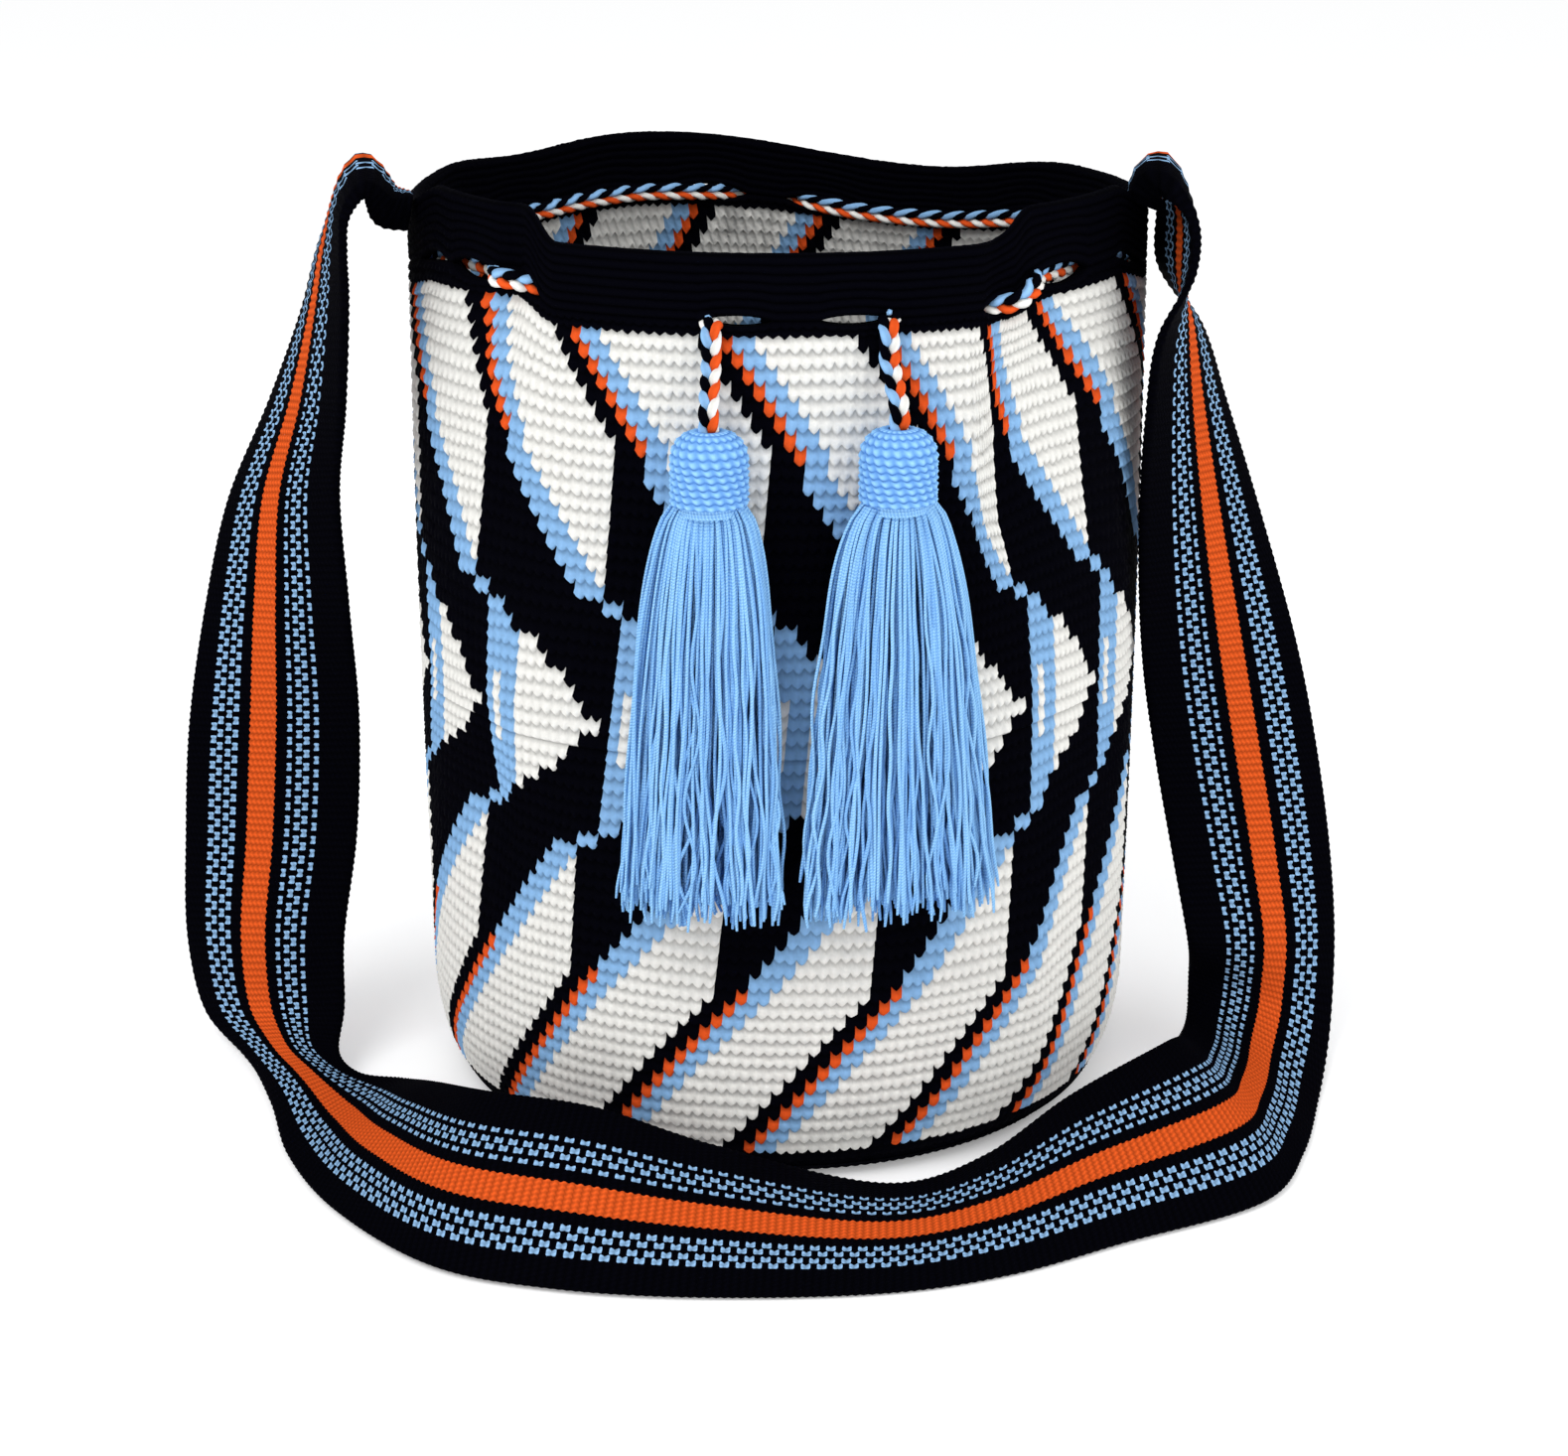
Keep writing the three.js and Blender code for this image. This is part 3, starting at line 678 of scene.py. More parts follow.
def base_piece(name, edge, z, upward):
    """Rounds of ridges from the edge to the centre, on a flat disc at height z."""
    rings = np.linspace(1, 0, BASE_ROUNDS * 2 + 1)
    angle = np.arange(BASE_COLUMNS) * 360 / BASE_COLUMNS
    lift = np.where(np.arange(len(rings)) % 2 == 0, 0.0, 0.5)
    turn = angle[None, :] + BASE_TURN * (1 - rings[:, None])
    height = z + (lift if upward else 0.5 - lift)
    points = place(turn, edge * rings[:, None] + 1e-3, height[:, None])
    uv = uv_grid(np.arange(BASE_COLUMNS + 1), np.arange(len(rings)) / 2)
    wedge = np.arange(BASE_COLUMNS)[None, :] % REPEAT
    ring = (np.arange(len(rings) - 1) // 2)[:, None]
    leaf = (ring % RAY_LENGTH) - wedge
    within = (ring >= RAYS_FROM) & (ring <= RAYS_TO)
    rays = np.select([leaf > 0, leaf == 0, leaf == -1], [white_, blue_, orange_], black_)
    cells = np.where(within, rays, black_)
    if upward:
        points, uv, cells = points[::-1], uv[::-1], cells[::-1]
        lift = lift[::-1]
    obj = grid_mesh(name, points[:, ::-1], uv[:, ::-1], crochet_yarn)
    cells = np.roll(cells[:, ::-1], -1, axis=1)
    paint(obj, PALETTE[cells.ravel()])
    # painted shade in the dips between rounds, full light on their ridges
    shade(obj, np.repeat(lift * 2, BASE_COLUMNS))
    return finish_piece(obj, "root", "bag_body")


base_under = base_piece("base_under", float(wall_radius(0.0)), 0.0, upward=False)
base_inside = base_piece("base_inside", float(wall_radius(14.0)) - WALL, FLOOR_Z, upward=True)
print("base rounds:", BASE_ROUNDS)

# %% [markdown]
# The drawstring is a round braid of four strands. Seen from outside it shows two columns of
# slanting beads, blue and black on the left, orange and white on the right. Two pairs of
# strands, each pair twisted against the other and pressed together, give those beads.

# %% Braided cord
CORD_D, BEAD_PITCH = 6.5, 10.1
PAIR_OFFSET, TURN_SIDE, TURN_OUT, STRAND_R, PLUMP, END_TAPER = 1.42, 0.6, 1.2, 1.12, 0.42, 1.6
STRANDS = ((1, 0.0, BLUE), (1, 0.5, BLACK), (-1, 0.25, ORANGE), (-1, 0.75, WHITE))
braid_yarn = yarn_material("braid_yarn", floor=1.0, grain=700.0, plies=3.0, relief=0.2)


def unit(v):
    return v / np.linalg.norm(v, axis=-1, keepdims=True)


def tubes(centres, radius, sides, hint):
    """Tubes along several lines at once. centres is [line, step, xyz]; hint is a direction that
    no line runs along. Gives vertices, quads, UVs and the line number of each quad."""
    lines, steps = centres.shape[:2]
    tangent = unit(np.gradient(centres, axis=1))
    side = unit(np.cross(tangent, np.broadcast_to(hint, tangent.shape)))
    out = np.cross(side, tangent)
    a = np.arange(sides) * 2 * np.pi / sides
    ring = side[:, :, None] * np.cos(a)[:, None] + out[:, :, None] * np.sin(a)[:, None]
    r = np.broadcast_to(radius, (lines, steps))[:, :, None, None]
    vertices = (centres[:, :, None] + ring * r).reshape(-1, 3)
    n, k, j = np.meshgrid(np.arange(lines), np.arange(steps - 1), np.arange(sides), indexing="ij")
    at = lambda kk, jj: (n * steps + kk) * sides + jj % sides
    faces = np.stack([at(k, j), at(k, j + 1), at(k + 1, j + 1), at(k + 1, j)], -1).reshape(-1, 4)
    length = np.array([lengths(line) for line in centres])
    ua, ub, va, vb = j / sides, (j + 1) / sides, length[n, k], length[n, k + 1]
    uv = np.stack([np.stack(p, -1) for p in ((ua, va), (ub, va), (ub, vb), (ua, vb))], -2)
    return vertices, faces, uv.reshape(-1, 2), n.ravel()


def braid(name, line, out_hint, sides, start=0.0):
    """A braid along a line of even steps. out_hint gives, for each step, the direction that
    faces the viewer, so that the columns of beads keep their sides."""
    tangent = unit(np.gradient(line, axis=0))
    side = unit(np.cross(tangent, out_hint))
    out = np.cross(side, tangent)
    along = lengths(line)
    near_end = np.minimum(along, along[-1] - along) / END_TAPER
    taper = np.sqrt(np.clip(near_end, 2e-4, 1))
    centres, radius = [], []
    for column, phase, _ in STRANDS:
        turn = 2 * np.pi * ((along + start) / BEAD_PITCH + phase)
        x = column * (PAIR_OFFSET - TURN_SIDE * np.sin(turn))
        centres.append(line + side * x[:, None] + out * (TURN_OUT * np.cos(turn))[:, None])
        radius.append((STRAND_R + PLUMP * np.maximum(np.cos(turn), 0)) * taper)
    vertices, faces, uv, number = tubes(np.array(centres), np.array(radius), sides,
                                        out[len(out) // 2])
    obj = quads_mesh(name, vertices, faces, braid_yarn, uv)
    paint(obj, np.array([s[2] for s in STRANDS])[number])
    return obj


# %% The drawstring round the rim
EXITS = {"left": -8.8, "right": 15.3}
HALF = (-1, 1, -1, -1, -1, 1)
POSTS = (*HALF, -1, -1, 1, -1, -1, *HALF[::-1])
CROSSING_DEG, STRAIGHT_DEG = np.degrees(15.5 / BODY_R), np.degrees(8.5 / BODY_R)
# bits that folds partly hide: degrees from their post at four points
SHORT_BITS = {1: (-1.5, -4.0, -7.5, -10.5), 15: (0.8, -2.0, -5.5, -8.0)}
wall_at_eyelets = float(wall_radius(EYELET_Z))


def rim_line():
    """Round the back from one exit to the other, inside (-1) or outside (1) of each post, and
    through the wall's middle where the side changes."""
    mouth, middle = wall_at_eyelets + 2, wall_at_eyelets - WALL / 2
    clear = WALL / 2 + 3.6
    spots = [(EXITS["left"], mouth), (EXITS["left"] - 2, mouth - WALL)]
    for i, layer in enumerate(POSTS):
        post = EYELET_PHASE - EYELET_PITCH - (i + 0.5) * EYELET_PITCH
        if layer > 0:
            usual = (CROSSING_DEG, STRAIGHT_DEG, -STRAIGHT_DEG, -CROSSING_DEG)
            layers = (middle, middle + clear, middle + clear, middle)
            spots += [(post + d, r) for d, r in zip(SHORT_BITS.get(i, usual), layers)]
        else:
            spots += [(post + d, middle - clear) for d in (EYELET_PITCH / 4, 0, -EYELET_PITCH / 4)]
    spots += [(EXITS["right"] + 2, mouth - WALL), (EXITS["right"], mouth)]
    a, r = np.array(spots).T
    return through(on_body(a, r, EYELET_Z), np.linspace(0, 1, 3000))


rim_path, rim_length = evenly(rim_line(), 1.0)
rim_out = unit(rim_path * [1, 1, 0])
drawstring = braid("drawstring_braid", rim_path, rim_out, 6)
finish_piece(drawstring, "root", "drawstring")
print("drawstring round the rim, mm:", round(float(rim_length)))

# %% [markdown]
# Each end of the drawstring comes out at the outer end of a front slit and hangs into its
# tassel's cap. It is one piece.

# %% Hanging ends
TASSELS = {"left": (-8.5, 28.5, -3.5, 0.3), "right": (15.5, 35.0, 1.5, 0.36)}
HANG_R, TASSEL_R = 130.0, 139.5
CAP_TOP = 263.0


def hanging_line(side):
    exit_angle, angle = EXITS[side], TASSELS[side][0]
    start = EYELET_Z - 3.3
    a = [exit_angle, exit_angle, exit_angle, angle, angle, angle]
    r = [wall_at_eyelets, HANG_R - 0.6, HANG_R, TASSEL_R, TASSEL_R, TASSEL_R]
    z = [start + 2.9, start + 1.2, start - 0.3 * (start - CAP_TOP), start - 0.8 * (start - CAP_TOP),
         CAP_TOP, CAP_TOP - 8.5]
    return evenly(through(place(a, r, z), np.linspace(0, 1, 600)), 0.5)


for side in ("left", "right"):
    path, length = hanging_line(side)
    front = np.broadcast_to(place(TASSELS[side][0], 1.0, 0.0), path.shape)
    obj = braid("drawstring_end_braid_" + side, path, front, 10, start=3.0)
    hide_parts("drawstring_end_" + side)
    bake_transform(obj)
    print("hanging end", side, "mm:", round(float(length), 1))

# %% [markdown]
# A tassel is a crocheted cap, a few turns of yarn that bind its neck, and a skirt of loose
# two-ply yarns. Every yarn is its own thin tube, laid from the neck to a ragged hem in a
# flattened bell. Real strands would be far slower to simulate than to place like this.

# %% Tassel yarns
SKIRT_TOP, BIND_TOP, BIND_BOTTOM, HEM, NECK = 243.0, 240.6, 236.6, 103.2, 7.0
STRAND_COUNT, STRAND_STEPS, STRAND_D = 300, 36, 1.2
skirt_yarn = yarn_material("tassel_yarn", dye=TASSEL_BLUE, floor=0.38, plies=2.0, turns=1.0,
                           relief=0.5, shade_tint=BLUE_SHADE_TINT)


def stand(points, angle):
    """Points of a tassel's own frame (x to its right, y away from the viewer) on the bag."""
    a = np.radians(angle)
    x, y, z = points[..., 0], points[..., 1], points[..., 2]
    turned = np.stack([x * np.cos(a) - y * np.sin(a), x * np.sin(a) + y * np.cos(a), z], -1)
    return turned + place(angle, TASSEL_R, 0.0)


def skirt_lines(half_width, lean, swelling):
    """Each yarn keeps its share of the bell's radius from neck to hem, and drifts slowly."""
    n = STRAND_COUNT
    a = np.linspace(0, 2 * np.pi, n, endpoint=False) * 61 + rng.normal(0, 0.1, n)
    f = np.sqrt(rng.uniform(0.2, 1, n))[:, None]
    length = rng.normal(0, 1, n)[:, None]
    t = np.linspace(0, 1, STRAND_STEPS)[None, :]
    hem = HEM + 5.0 + 4.2 * np.clip(length, -1.3, 2.8)
    z = SKIRT_TOP + (hem - SKIRT_TOP) * t
    below = np.clip((BIND_TOP - z) / (BIND_TOP - HEM), 0, 1)
    swell = below**swelling
    wide = NECK + (half_width - 1.5 - NECK) * swell
    deep = NECK + (11.2 - NECK) * np.minimum(1, 3 * below)
    drift = rng.normal(0, 1, (2, n, 1)) * np.sin(np.pi * t * rng.uniform(0.7, 1.5, (n, 1)))
    waves, shift = rng.uniform(1.5, 4.5, (n, 1)), rng.uniform(0, 1, (n, 1))
    drift = drift + rng.normal(0, 0.9, (2, n, 1)) * np.sin(2 * np.pi * (waves * t + shift)) * t
    stray = rng.normal(0, 1.1, (n, 1)) * below**2
    x = wide * f * np.cos(a)[:, None] + lean * below + drift[0] * 1.3 + stray
    y = deep * f * np.sin(a)[:, None] + drift[1] * 0.4
    return np.stack([x, np.clip(y, -11.6, 11.6), z], -1), f.ravel()


for side, (angle, half_width, lean, swelling) in TASSELS.items():
    lines, outward = skirt_lines(half_width, lean, swelling)
    lines = stand(lines, angle)
    taper = np.ones(STRAND_STEPS)
    taper[[0, -1]] = (0.6, 0.7)
    radius = STRAND_D / 2 * rng.uniform(0.88, 1.12, (STRAND_COUNT, 1)) * taper
    vertices, faces, uv, _ = tubes(lines, radius, 5, (0.0, 1.0, 0.02))
    skirt = quads_mesh("tassel_yarns_" + side, vertices, faces, skirt_yarn, uv)
    # painted shade: strands nearer the bell's middle are darker; each strand also has a random tone
    # of its own
    shade_and_tone = np.clip(1.15 * outward - 0.15 + rng.normal(0, 0.16, STRAND_COUNT), 0, 1)
    shade(skirt, np.repeat(shade_and_tone, len(vertices) // STRAND_COUNT))
    finish_piece(skirt, side + "_tassel", "tassel_skirt_" + side)
    print("tassel", side, "yarns:", STRAND_COUNT, "faces:", len(faces))

# %% Tassel caps and bindings
CAP_H, CAP_R, CAP_COURSES, CAP_STITCHES, CAP_RIDGE = 22.7, 12.2, 11, 20, 0.9
DOME, DOME_H, HOLE_R, BIND_TURNS, BIND_YARN_R = 0.42, 8.6, 3.3, 3, 0.85
cap_yarn = yarn_material("cap_yarn", TASSEL_BLUE, floor=0.42, relief=0.4, shade_tint=BLUE_SHADE_TINT)


def cap_points():
    """Half an ellipse over the cord, then a straight side, with a ridge for each course and a
    bump for each stitch. The lower edge is scalloped and turns in under the cap."""
    per, around = 4, CAP_STITCHES * 6
    rings = np.arange(CAP_COURSES * per + 1)
    v = rings / per
    down = v / CAP_COURSES
    dome = np.clip(down / DOME, 0, 1)
    r = HOLE_R + (CAP_R - CAP_RIDGE - HOLE_R) * np.sin(dome * np.pi / 2)
    z = np.where(down < DOME, -DOME_H * (1 - np.cos(dome * np.pi / 2)),
                 -DOME_H - (CAP_H - DOME_H) * (down - DOME) / (1 - DOME))
    s = np.arange(around) / 6
    lean = s[None, :] - 0.25 * v[:, None]
    ridge = 0.7 * np.abs(np.sin(np.pi * v)) ** 0.8
    bump = 0.45 * np.cos(2 * np.pi * lean) * np.abs(np.sin(np.pi * v))[:, None]
    notch = 0.34 * np.cos(2 * np.pi * lean) * (np.cos(np.pi * v) ** 2)[:, None] * (v > 1)[:, None]
    a = 2 * np.pi * s[None, :] / CAP_STITCHES
    full = r[:, None] + ridge[:, None] + bump
    height = np.broadcast_to(z[:, None], full.shape) - notch
    height = np.where(v[:, None] > CAP_COURSES - 0.01, np.maximum(height, -CAP_H), height)
    outside = np.stack([full * np.cos(a), full * np.sin(a), height], -1)
    under = np.array([[8.6, -CAP_H + 0.2], [8.2, -CAP_H + 5], [7.4, -8.0]])
    flat = [np.stack([rr * np.cos(a[0]), rr * np.sin(a[0]), np.full(around, zz)], -1)
            for rr, zz in under]
    # painted light: full on each course's ridge and stitch bump, painted shade in the dips between,
    # darkest on the part turned in under the cap
    lit = np.abs(np.sin(np.pi * v))[:, None] ** 0.6 * (0.66 + 0.34 * np.cos(2 * np.pi * lean))
    depth = np.concatenate([lit.ravel(), np.zeros(3 * around)])
    return np.concatenate([outside, np.array(flat)]), depth


def binding_lines():
    """Yarn wound round the neck: three close turns as one rising line."""
    turns = np.linspace(0, BIND_TURNS, BIND_TURNS * 40)
    a = 2 * np.pi * turns
    r = NECK + 1.8
    return np.stack([r * np.cos(a), r * np.sin(a), BIND_BOTTOM + 0.5 + 1.0 * turns], -1)[None]


for side, (angle, *_) in TASSELS.items():
    local, depth = cap_points()
    points = stand(local, angle) + [0, 0, CAP_TOP]
    uv = uv_grid(np.arange(local.shape[1] + 1) / 6, np.arange(len(local)) / 4)
    cap = grid_mesh("tassel_cap_crochet_" + side, points, uv, cap_yarn)
    shade(cap, depth)
    finish_piece(cap, side + "_tassel", "tassel_cap_" + side)
    vertices, faces, uv, _ = tubes(stand(binding_lines(), angle), BIND_YARN_R, 8, (0, 0, 1.0))
    binding = quads_mesh("tassel_binding_yarn_" + side, vertices, faces, skirt_yarn, uv)
    shade(binding, np.ones(len(vertices)))
    finish_piece(binding, side + "_tassel", "tassel_binding_" + side)
    dyes = frame["nodes"]["cord_knot_" + side].data.materials
    dyes.clear()
    dyes.append(yarn_material("knot_yarn_" + side, dye=ORANGE, floor=1.0))

# %% [markdown]
# The strap is a warp-faced band: its long threads hide the cross ones, which only show as ribs
# across it. So its columns of colour run along it, and a dot is one thread pair that floats over
# a rib. The colours are computed in the material from UV: U runs across from the outer edge
# and V counts ribs along.

# %% Strap material
RIB, RIBS_A_DOT, DOT_SHORT = 2.6, 2.0, 1.7
STRAP_ORANGE, STRAP_DOT = linear(242, 97, 38), linear(156, 200, 243)


def dots_group():
    """A column of dots, one every second rib: 1 where x^4 + y^4 < 1, with x across the band
    from Centre and shorter at the dot's waist, y along it. Phase shifts them by ribs."""
    sockets = {"Centre": 0.5, "Width": 0.04, "Phase": 0.0}
    group, start, end = new_group("dot_column", sockets, "Mask")
    u, v = uv_parts(group)
    x = calc(group, "SUBTRACT", u, start.outputs["Centre"])
    x = calc(group, "DIVIDE", calc(group, "ABSOLUTE", x),
             calc(group, "MULTIPLY", start.outputs["Width"], 0.5))
    v = calc(group, "ADD", v, start.outputs["Phase"])
    cell = calc(group, "FRACT", calc(group, "DIVIDE", v, RIBS_A_DOT))
    y = calc(group, "MULTIPLY", calc(group, "SUBTRACT", cell, 0.5), RIBS_A_DOT)
    y = calc(group, "MULTIPLY", calc(group, "ABSOLUTE", y), DOT_SHORT)
    waist = calc(group, "MULTIPLY_ADD", calc(group, "MINIMUM", y, 1.0), 0.5, 0.52)
    x = calc(group, "DIVIDE", x, waist)
    far = calc(group, "ADD", calc(group, "POWER", x, 4.0), calc(group, "POWER", y, 4.0))
    group.links.new(calc(group, "LESS_THAN", far, 1.0), end.inputs["Mask"])
    return group


DOTS = dots_group()
COLUMNS_OF_DOTS = [  # centre and width as shares of the band, and phase in ribs
    (0.192, 0.044, 0.0), (0.232, 0.044, 1.0), (0.282, 0.044, 0.0), (0.325, 0.044, 1.0),
    (0.65, 0.036, 0.0), (0.705, 0.044, 1.0), (0.748, 0.044, 0.0), (0.805, 0.036, 1.0),
]
ORANGE_FROM, ORANGE_TO, EDGE_WAVE = 0.412, 0.568, 0.004
THREADS_ACROSS, STRAP_BUMP, RIB_LIGHT, THREAD_LIGHT = 36, 0.0005, (0.45, 0.55), (0.14, 0.88)


def strap_material():
    """The stripe and the dots from UV, with warp threads set like bricks from rib to rib, drawn as
    painted shade between threads and a bump, and painted shade in the grooves between ribs.
    """
    material, tree, depth = new_material("strap_weave")
    across, ribs = uv_parts(tree)
    beat = calc(tree, "SINE", calc(tree, "MULTIPLY", ribs, 2 * np.pi))
    across = calc(tree, "MULTIPLY_ADD", beat, EDGE_WAVE, across)
    mask = None
    for centre, width, phase in COLUMNS_OF_DOTS:
        one = use(tree, DOTS, Centre=centre, Width=width, Phase=phase)
        mask = one if mask is None else calc(tree, "MAXIMUM", mask, one)
    stripe = calc(tree, "MULTIPLY", calc(tree, "GREATER_THAN", across, ORANGE_FROM),
                  calc(tree, "LESS_THAN", across, ORANGE_TO))
    colour = mixed(tree, stripe, BLACK, STRAP_ORANGE)
    colour = mixed(tree, mask, colour, STRAP_DOT)
    shifted = calc(tree, "MULTIPLY", calc(tree, "FLOOR", ribs), np.pi)
    threads = 2 * np.pi * THREADS_ACROSS
    thread = calc(tree, "SINE", calc(tree, "MULTIPLY_ADD", across, threads, shifted))
    grain = use(tree, GRAIN, Scale=FINE_GRAIN)
    light = calc(tree, "MULTIPLY_ADD", depth, *RIB_LIGHT)
    light = calc(tree, "MULTIPLY", light, calc(tree, "MULTIPLY_ADD", thread, *THREAD_LIGHT))
    light = calc(tree, "MULTIPLY", light, calc(tree, "MULTIPLY_ADD", grain, *GRAIN_LIGHT))
    height = calc(tree, "MULTIPLY_ADD", grain, 0.5, calc(tree, "MULTIPLY", thread, 0.5))
    dress(tree, colour, light, PLAIN_SHADE_TINT, height, 0.3, STRAP_BUMP, 0.85)
    return material


# %% [markdown]
# Each row of STATIONS is one place along the strap: the outer edge's angle, distance from
# BODY_R and height over RIM, the same three of the inner edge, the crown in millimetres, and
# how many times thicker the band is where it is gathered.

# %% Strap
STRAP_T, BAND_COLUMNS = 3.0, 31
SEAT_ANGLE = 78
SEAT = 1.2 + 0.6 - SIDE_SETBACK * float(1 - smoothstep(SEAT_ANGLE, *SIDE_TO))
STATIONS = [
    [-SEAT_ANGLE, SEAT, 0.99, -74, SEAT, 0.99, 1, 4],
    [-80, 9, 0.996, -72, 10, 0.995, 3, 3.6],
    [-86, 16, 1.032, -68, 19, 1.024, 4, 2],
    [-88, 22, 1.0, -66, 27, 1.002, 3, 1.2],
    [-87, 30, 0.947, -65, 29, 0.965, 2, 1],
    [-87, 37, 0.874, -65, 29, 0.922, 2, 1],
    [-88, 50, 0.772, -67, 30, 0.804, 2, 1],
    [-90, 67.5, 0.654, -73, 30, 0.696, 2, 1],
    [-91, 78, 0.537, -78, 27, 0.562, 2, 1],
    [-91, 87, 0.393, -85, 25, 0.409, 2, 1],
    [-92, 92, 0.25, -86, 28, 0.263, 2, 1],
    [-91, 93, 0.116, -84, 34, 0.142, 3, 1],
    [-91, 88, 0.024, -81, 35, 0.07, 3, 1],
    [-83, 70, 0, -76, 38, 0.032, 4, 1],
    [-72, 64, 0, -73, 32, 0.014, 4, 1],
    [-59, 70, 0, -70, 18, 0.011, 3, 1],
    [-46, 77.5, 0, -55, 19, 0.057, 3, 1],
    [-31, 85, 0, -36, 33, 0.113, 3, 1],
    [-20, 81, 0, -23, 28, 0.116, 3, 1],
    [-7, 75, 0, -9, 13, 0.065, 3, 1],
    [11, 73.5, 0, 17, 12, 0.011, 3, 1],
    [22, 73, 0, 30, 14, 0.027, 3, 1],
    [34, 72.5, 0, 43, 19, 0.074, 3, 1],
    [51, 85.5, 0, 62, 28, 0.09, 3, 1],
    [61, 80.5, 0, 75, 25, 0.053, 3, 1],
    [74, 75, 0, 82, 26, 0.053, 3, 1],
    [86, 78, 0.033, 82, 26, 0.104, 3, 1],
    [89, 79, 0.123, 77, 26, 0.161, 3, 1],
    [90, 76, 0.234, 79, 19, 0.256, 2, 1],
    [90, 69, 0.361, 80, 11, 0.374, 2, 1],
    [90, 60, 0.482, 77, 6, 0.489, 2, 1],
    [90, 45, 0.632, 70, 6, 0.642, 2, 1],
    [88, 29.5, 0.772, 64, 11, 0.791, 2, 1],
    [87, 20, 0.855, 61, 17, 0.881, 2, 1],
    [87, 5.5, 0.925, 62, 26, 0.947, 2, 1],
    [88, 5.5, 0.985, 66, 22, 0.995, 2, 1.3],
    [85, 4.5, 1.026, 69, 10, 1.026, 4, 2.6],
    [80, 3.0, 1.02, 72, 4.0, 1.02, 3, 3.8],
    [SEAT_ANGLE, SEAT, 0.998, 74, SEAT, 0.998, 1, 4],
]


def strap_surface():
    """Two edge curves, joined by a crowned line at each step, with a front and a back face.
    Steps are spread so that each rib takes the same length of the band's middle."""
    table = np.array(STATIONS, float)
    edges = [place(table[:, c], BODY_R + table[:, c + 1], STRAP_T / 2 + table[:, c + 2] * RIM)
             for c in (0, 3)]
    folds = np.pad(table[:, 6:8], ((0, 0), (0, 1)))
    fine = np.linspace(0, 1, 6000)
    middle = (through(edges[0], fine) + through(edges[1], fine)) / 2
    along = lengths(middle)
    ribs = int(round(along[-1] / RIB))
    t = np.interp(np.linspace(0, along[-1], ribs * 2 + 1), along, fine)
    outer, inner, fold = through(edges[0], t), through(edges[1], t), through(folds, t)
    heading = np.gradient((outer + inner) / 2, axis=0)
    smooth = np.stack([np.convolve(np.pad(heading[:, i], 6, "edge"), np.ones(13) / 13, "valid")
                       for i in range(3)], axis=1)
    normal = unit(np.cross(smooth, inner - outer))
    share = np.linspace(0, 1, BAND_COLUMNS)
    ripple = np.where(np.arange(len(t)) % 2 == 0, 0.0, 1.0)
    front = np.concatenate([share, [1.006], share[::-1], [-0.006]])
    face = np.full(BAND_COLUMNS, 0.5)
    layer = np.concatenate([face, [0.0], -face, [0.0]])
    width = np.linalg.norm(inner - outer, axis=1)
    crown = fold[:, :1] * 4 * np.clip(front * (1 - front), 0, 1)
    lift = layer * (STRAP_T * fold[:, 1:2] - 0.9) + np.sign(layer) * 0.45 * ripple[:, None]
    edge_out = np.where(layer == 0, 0.5, 0.0) * ripple[:, None] / width[:, None]
    at = front + np.sign(front - 0.5) * edge_out
    points = outer[:, None] + (inner - outer)[:, None] * at[..., None]
    points = points + normal[:, None] * (crown + lift)[..., None]
    low = np.where(layer < 0, 0.1, np.where(layer > 0, STRAP_T - 1.0, STRAP_T / 2))
    points[..., 2] = np.maximum(points[..., 2], low)
    return points, front, layer, ripple, along[-1], ribs


strap_points, strap_u, strap_layer, strap_ripple, strap_length, strap_ribs = strap_surface()
uv = uv_grid(np.append(strap_u, strap_u[0]), np.arange(len(strap_points)) / 2)
strap = grid_mesh("strap_band", strap_points[:, ::-1], uv[:, ::-1], strap_material())
# painted shade in the grooves between ribs, full light on the ribs
shade(strap, np.repeat(strap_ripple, strap_points.shape[1]))
finish_piece(strap, "root", "strap")
print("strap length, mm:", round(float(strap_length)), "ribs:", strap_ribs)

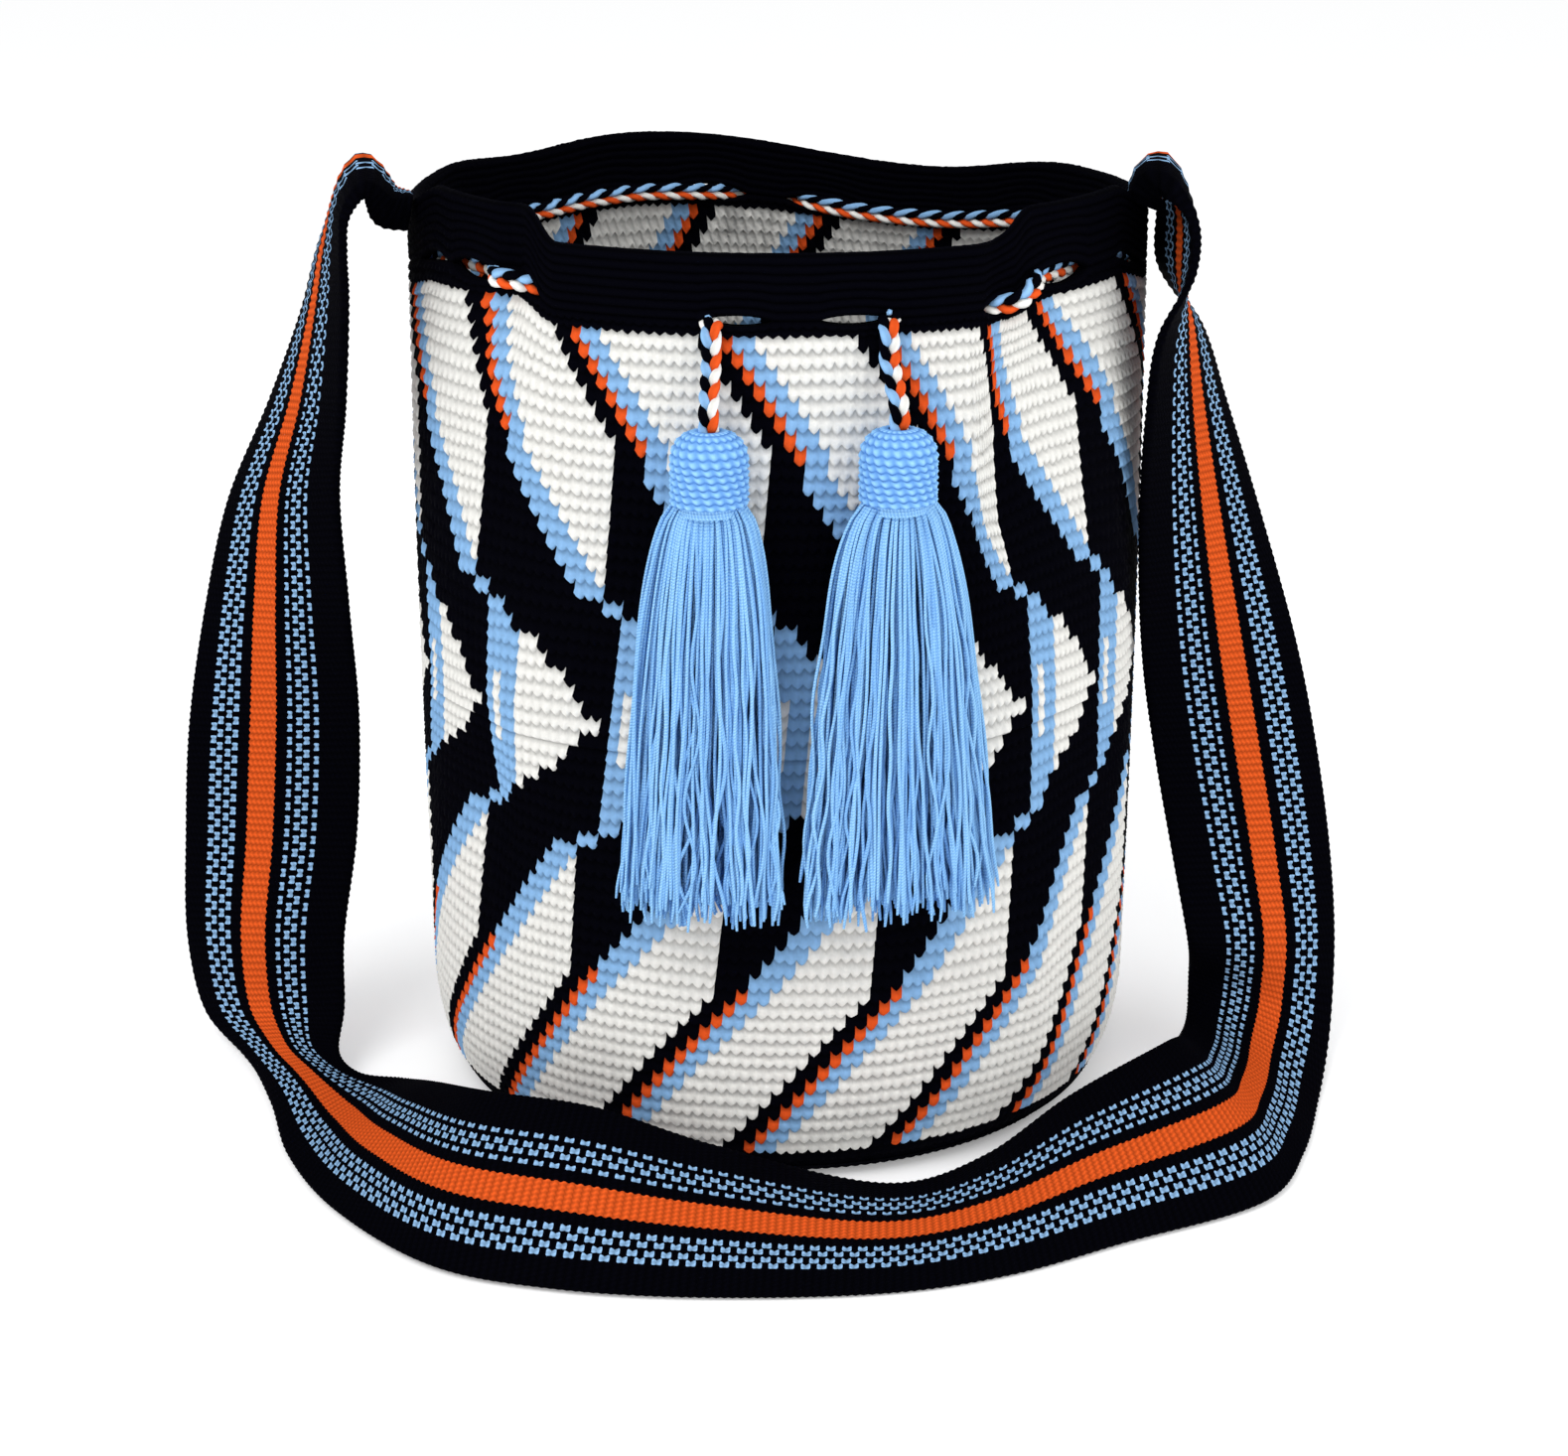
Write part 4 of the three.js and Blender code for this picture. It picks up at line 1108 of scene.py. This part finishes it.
# %% [markdown]
# The photo was taken on white, with broad soft light from above and the front. A white sky
# gives most of the light and two large lamps give the ridges their shape. The floor is so
# bright that only the bag's own soft shadow shows on it.

# %% Floor and light
floor_mesh = bpy.data.meshes.new("floor")
SIZE, FLOOR_GLOW, SKY = 12.0, 0.25, 0.75
floor_mesh.from_pydata([(-SIZE, -SIZE, 0), (SIZE, -SIZE, 0), (SIZE, SIZE, 0), (-SIZE, SIZE, 0)],
                       [], [(0, 1, 2, 3)])
floor = bpy.data.objects.new("floor", floor_mesh)
floor.location = (0, 0, -0.0004)
scene_objects.link(floor)
floor_paint = bpy.data.materials.new("white_floor")
floor_paint.use_nodes = True
FLOOR_LOOK = {"Base Color": (0.95, 0.955, 0.96, 1), "Roughness": 0.9, "Specular IOR Level": 0.0,
              "Emission Color": (1, 1, 1, 1), "Emission Strength": FLOOR_GLOW}
for key, value in FLOOR_LOOK.items():
    floor_paint.node_tree.nodes["Principled BSDF"].inputs[key].default_value = value
floor_mesh.materials.append(floor_paint)

world = bpy.data.worlds.new("white_sky")
bpy.context.scene.world = world
world.use_nodes = True
tree = world.node_tree
sky = tree.nodes["Background"].inputs
sky["Color"].default_value = (1, 1, 1, 1)
seen = tree.nodes.new("ShaderNodeLightPath").outputs["Is Camera Ray"]
tree.links.new(calc(tree, "MULTIPLY_ADD", seen, 1 - SKY, SKY), sky["Strength"])


def lamp(name, where, target, size, power):
    light = bpy.data.lights.new(name, "AREA")
    light.shape = "SQUARE"
    light.size = size
    light.energy = power
    obj = bpy.data.objects.new(name, light)
    obj.location = where
    aim = np.array(target) - np.array(where)
    obj.rotation_euler = (np.arctan2(np.hypot(aim[0], aim[1]), -aim[2]), 0,
                          np.arctan2(-aim[0], aim[1]))
    scene_objects.link(obj)


lamp("key", (-0.9, -1.2, 2.0), (0, 0, 0.15), 1.2, 22)
lamp("fill", (1.3, -0.9, 1.4), (0, 0, 0.15), 1.4, 10)
bpy.context.scene.view_settings.view_transform = "Standard"
print("lamps and sky set")
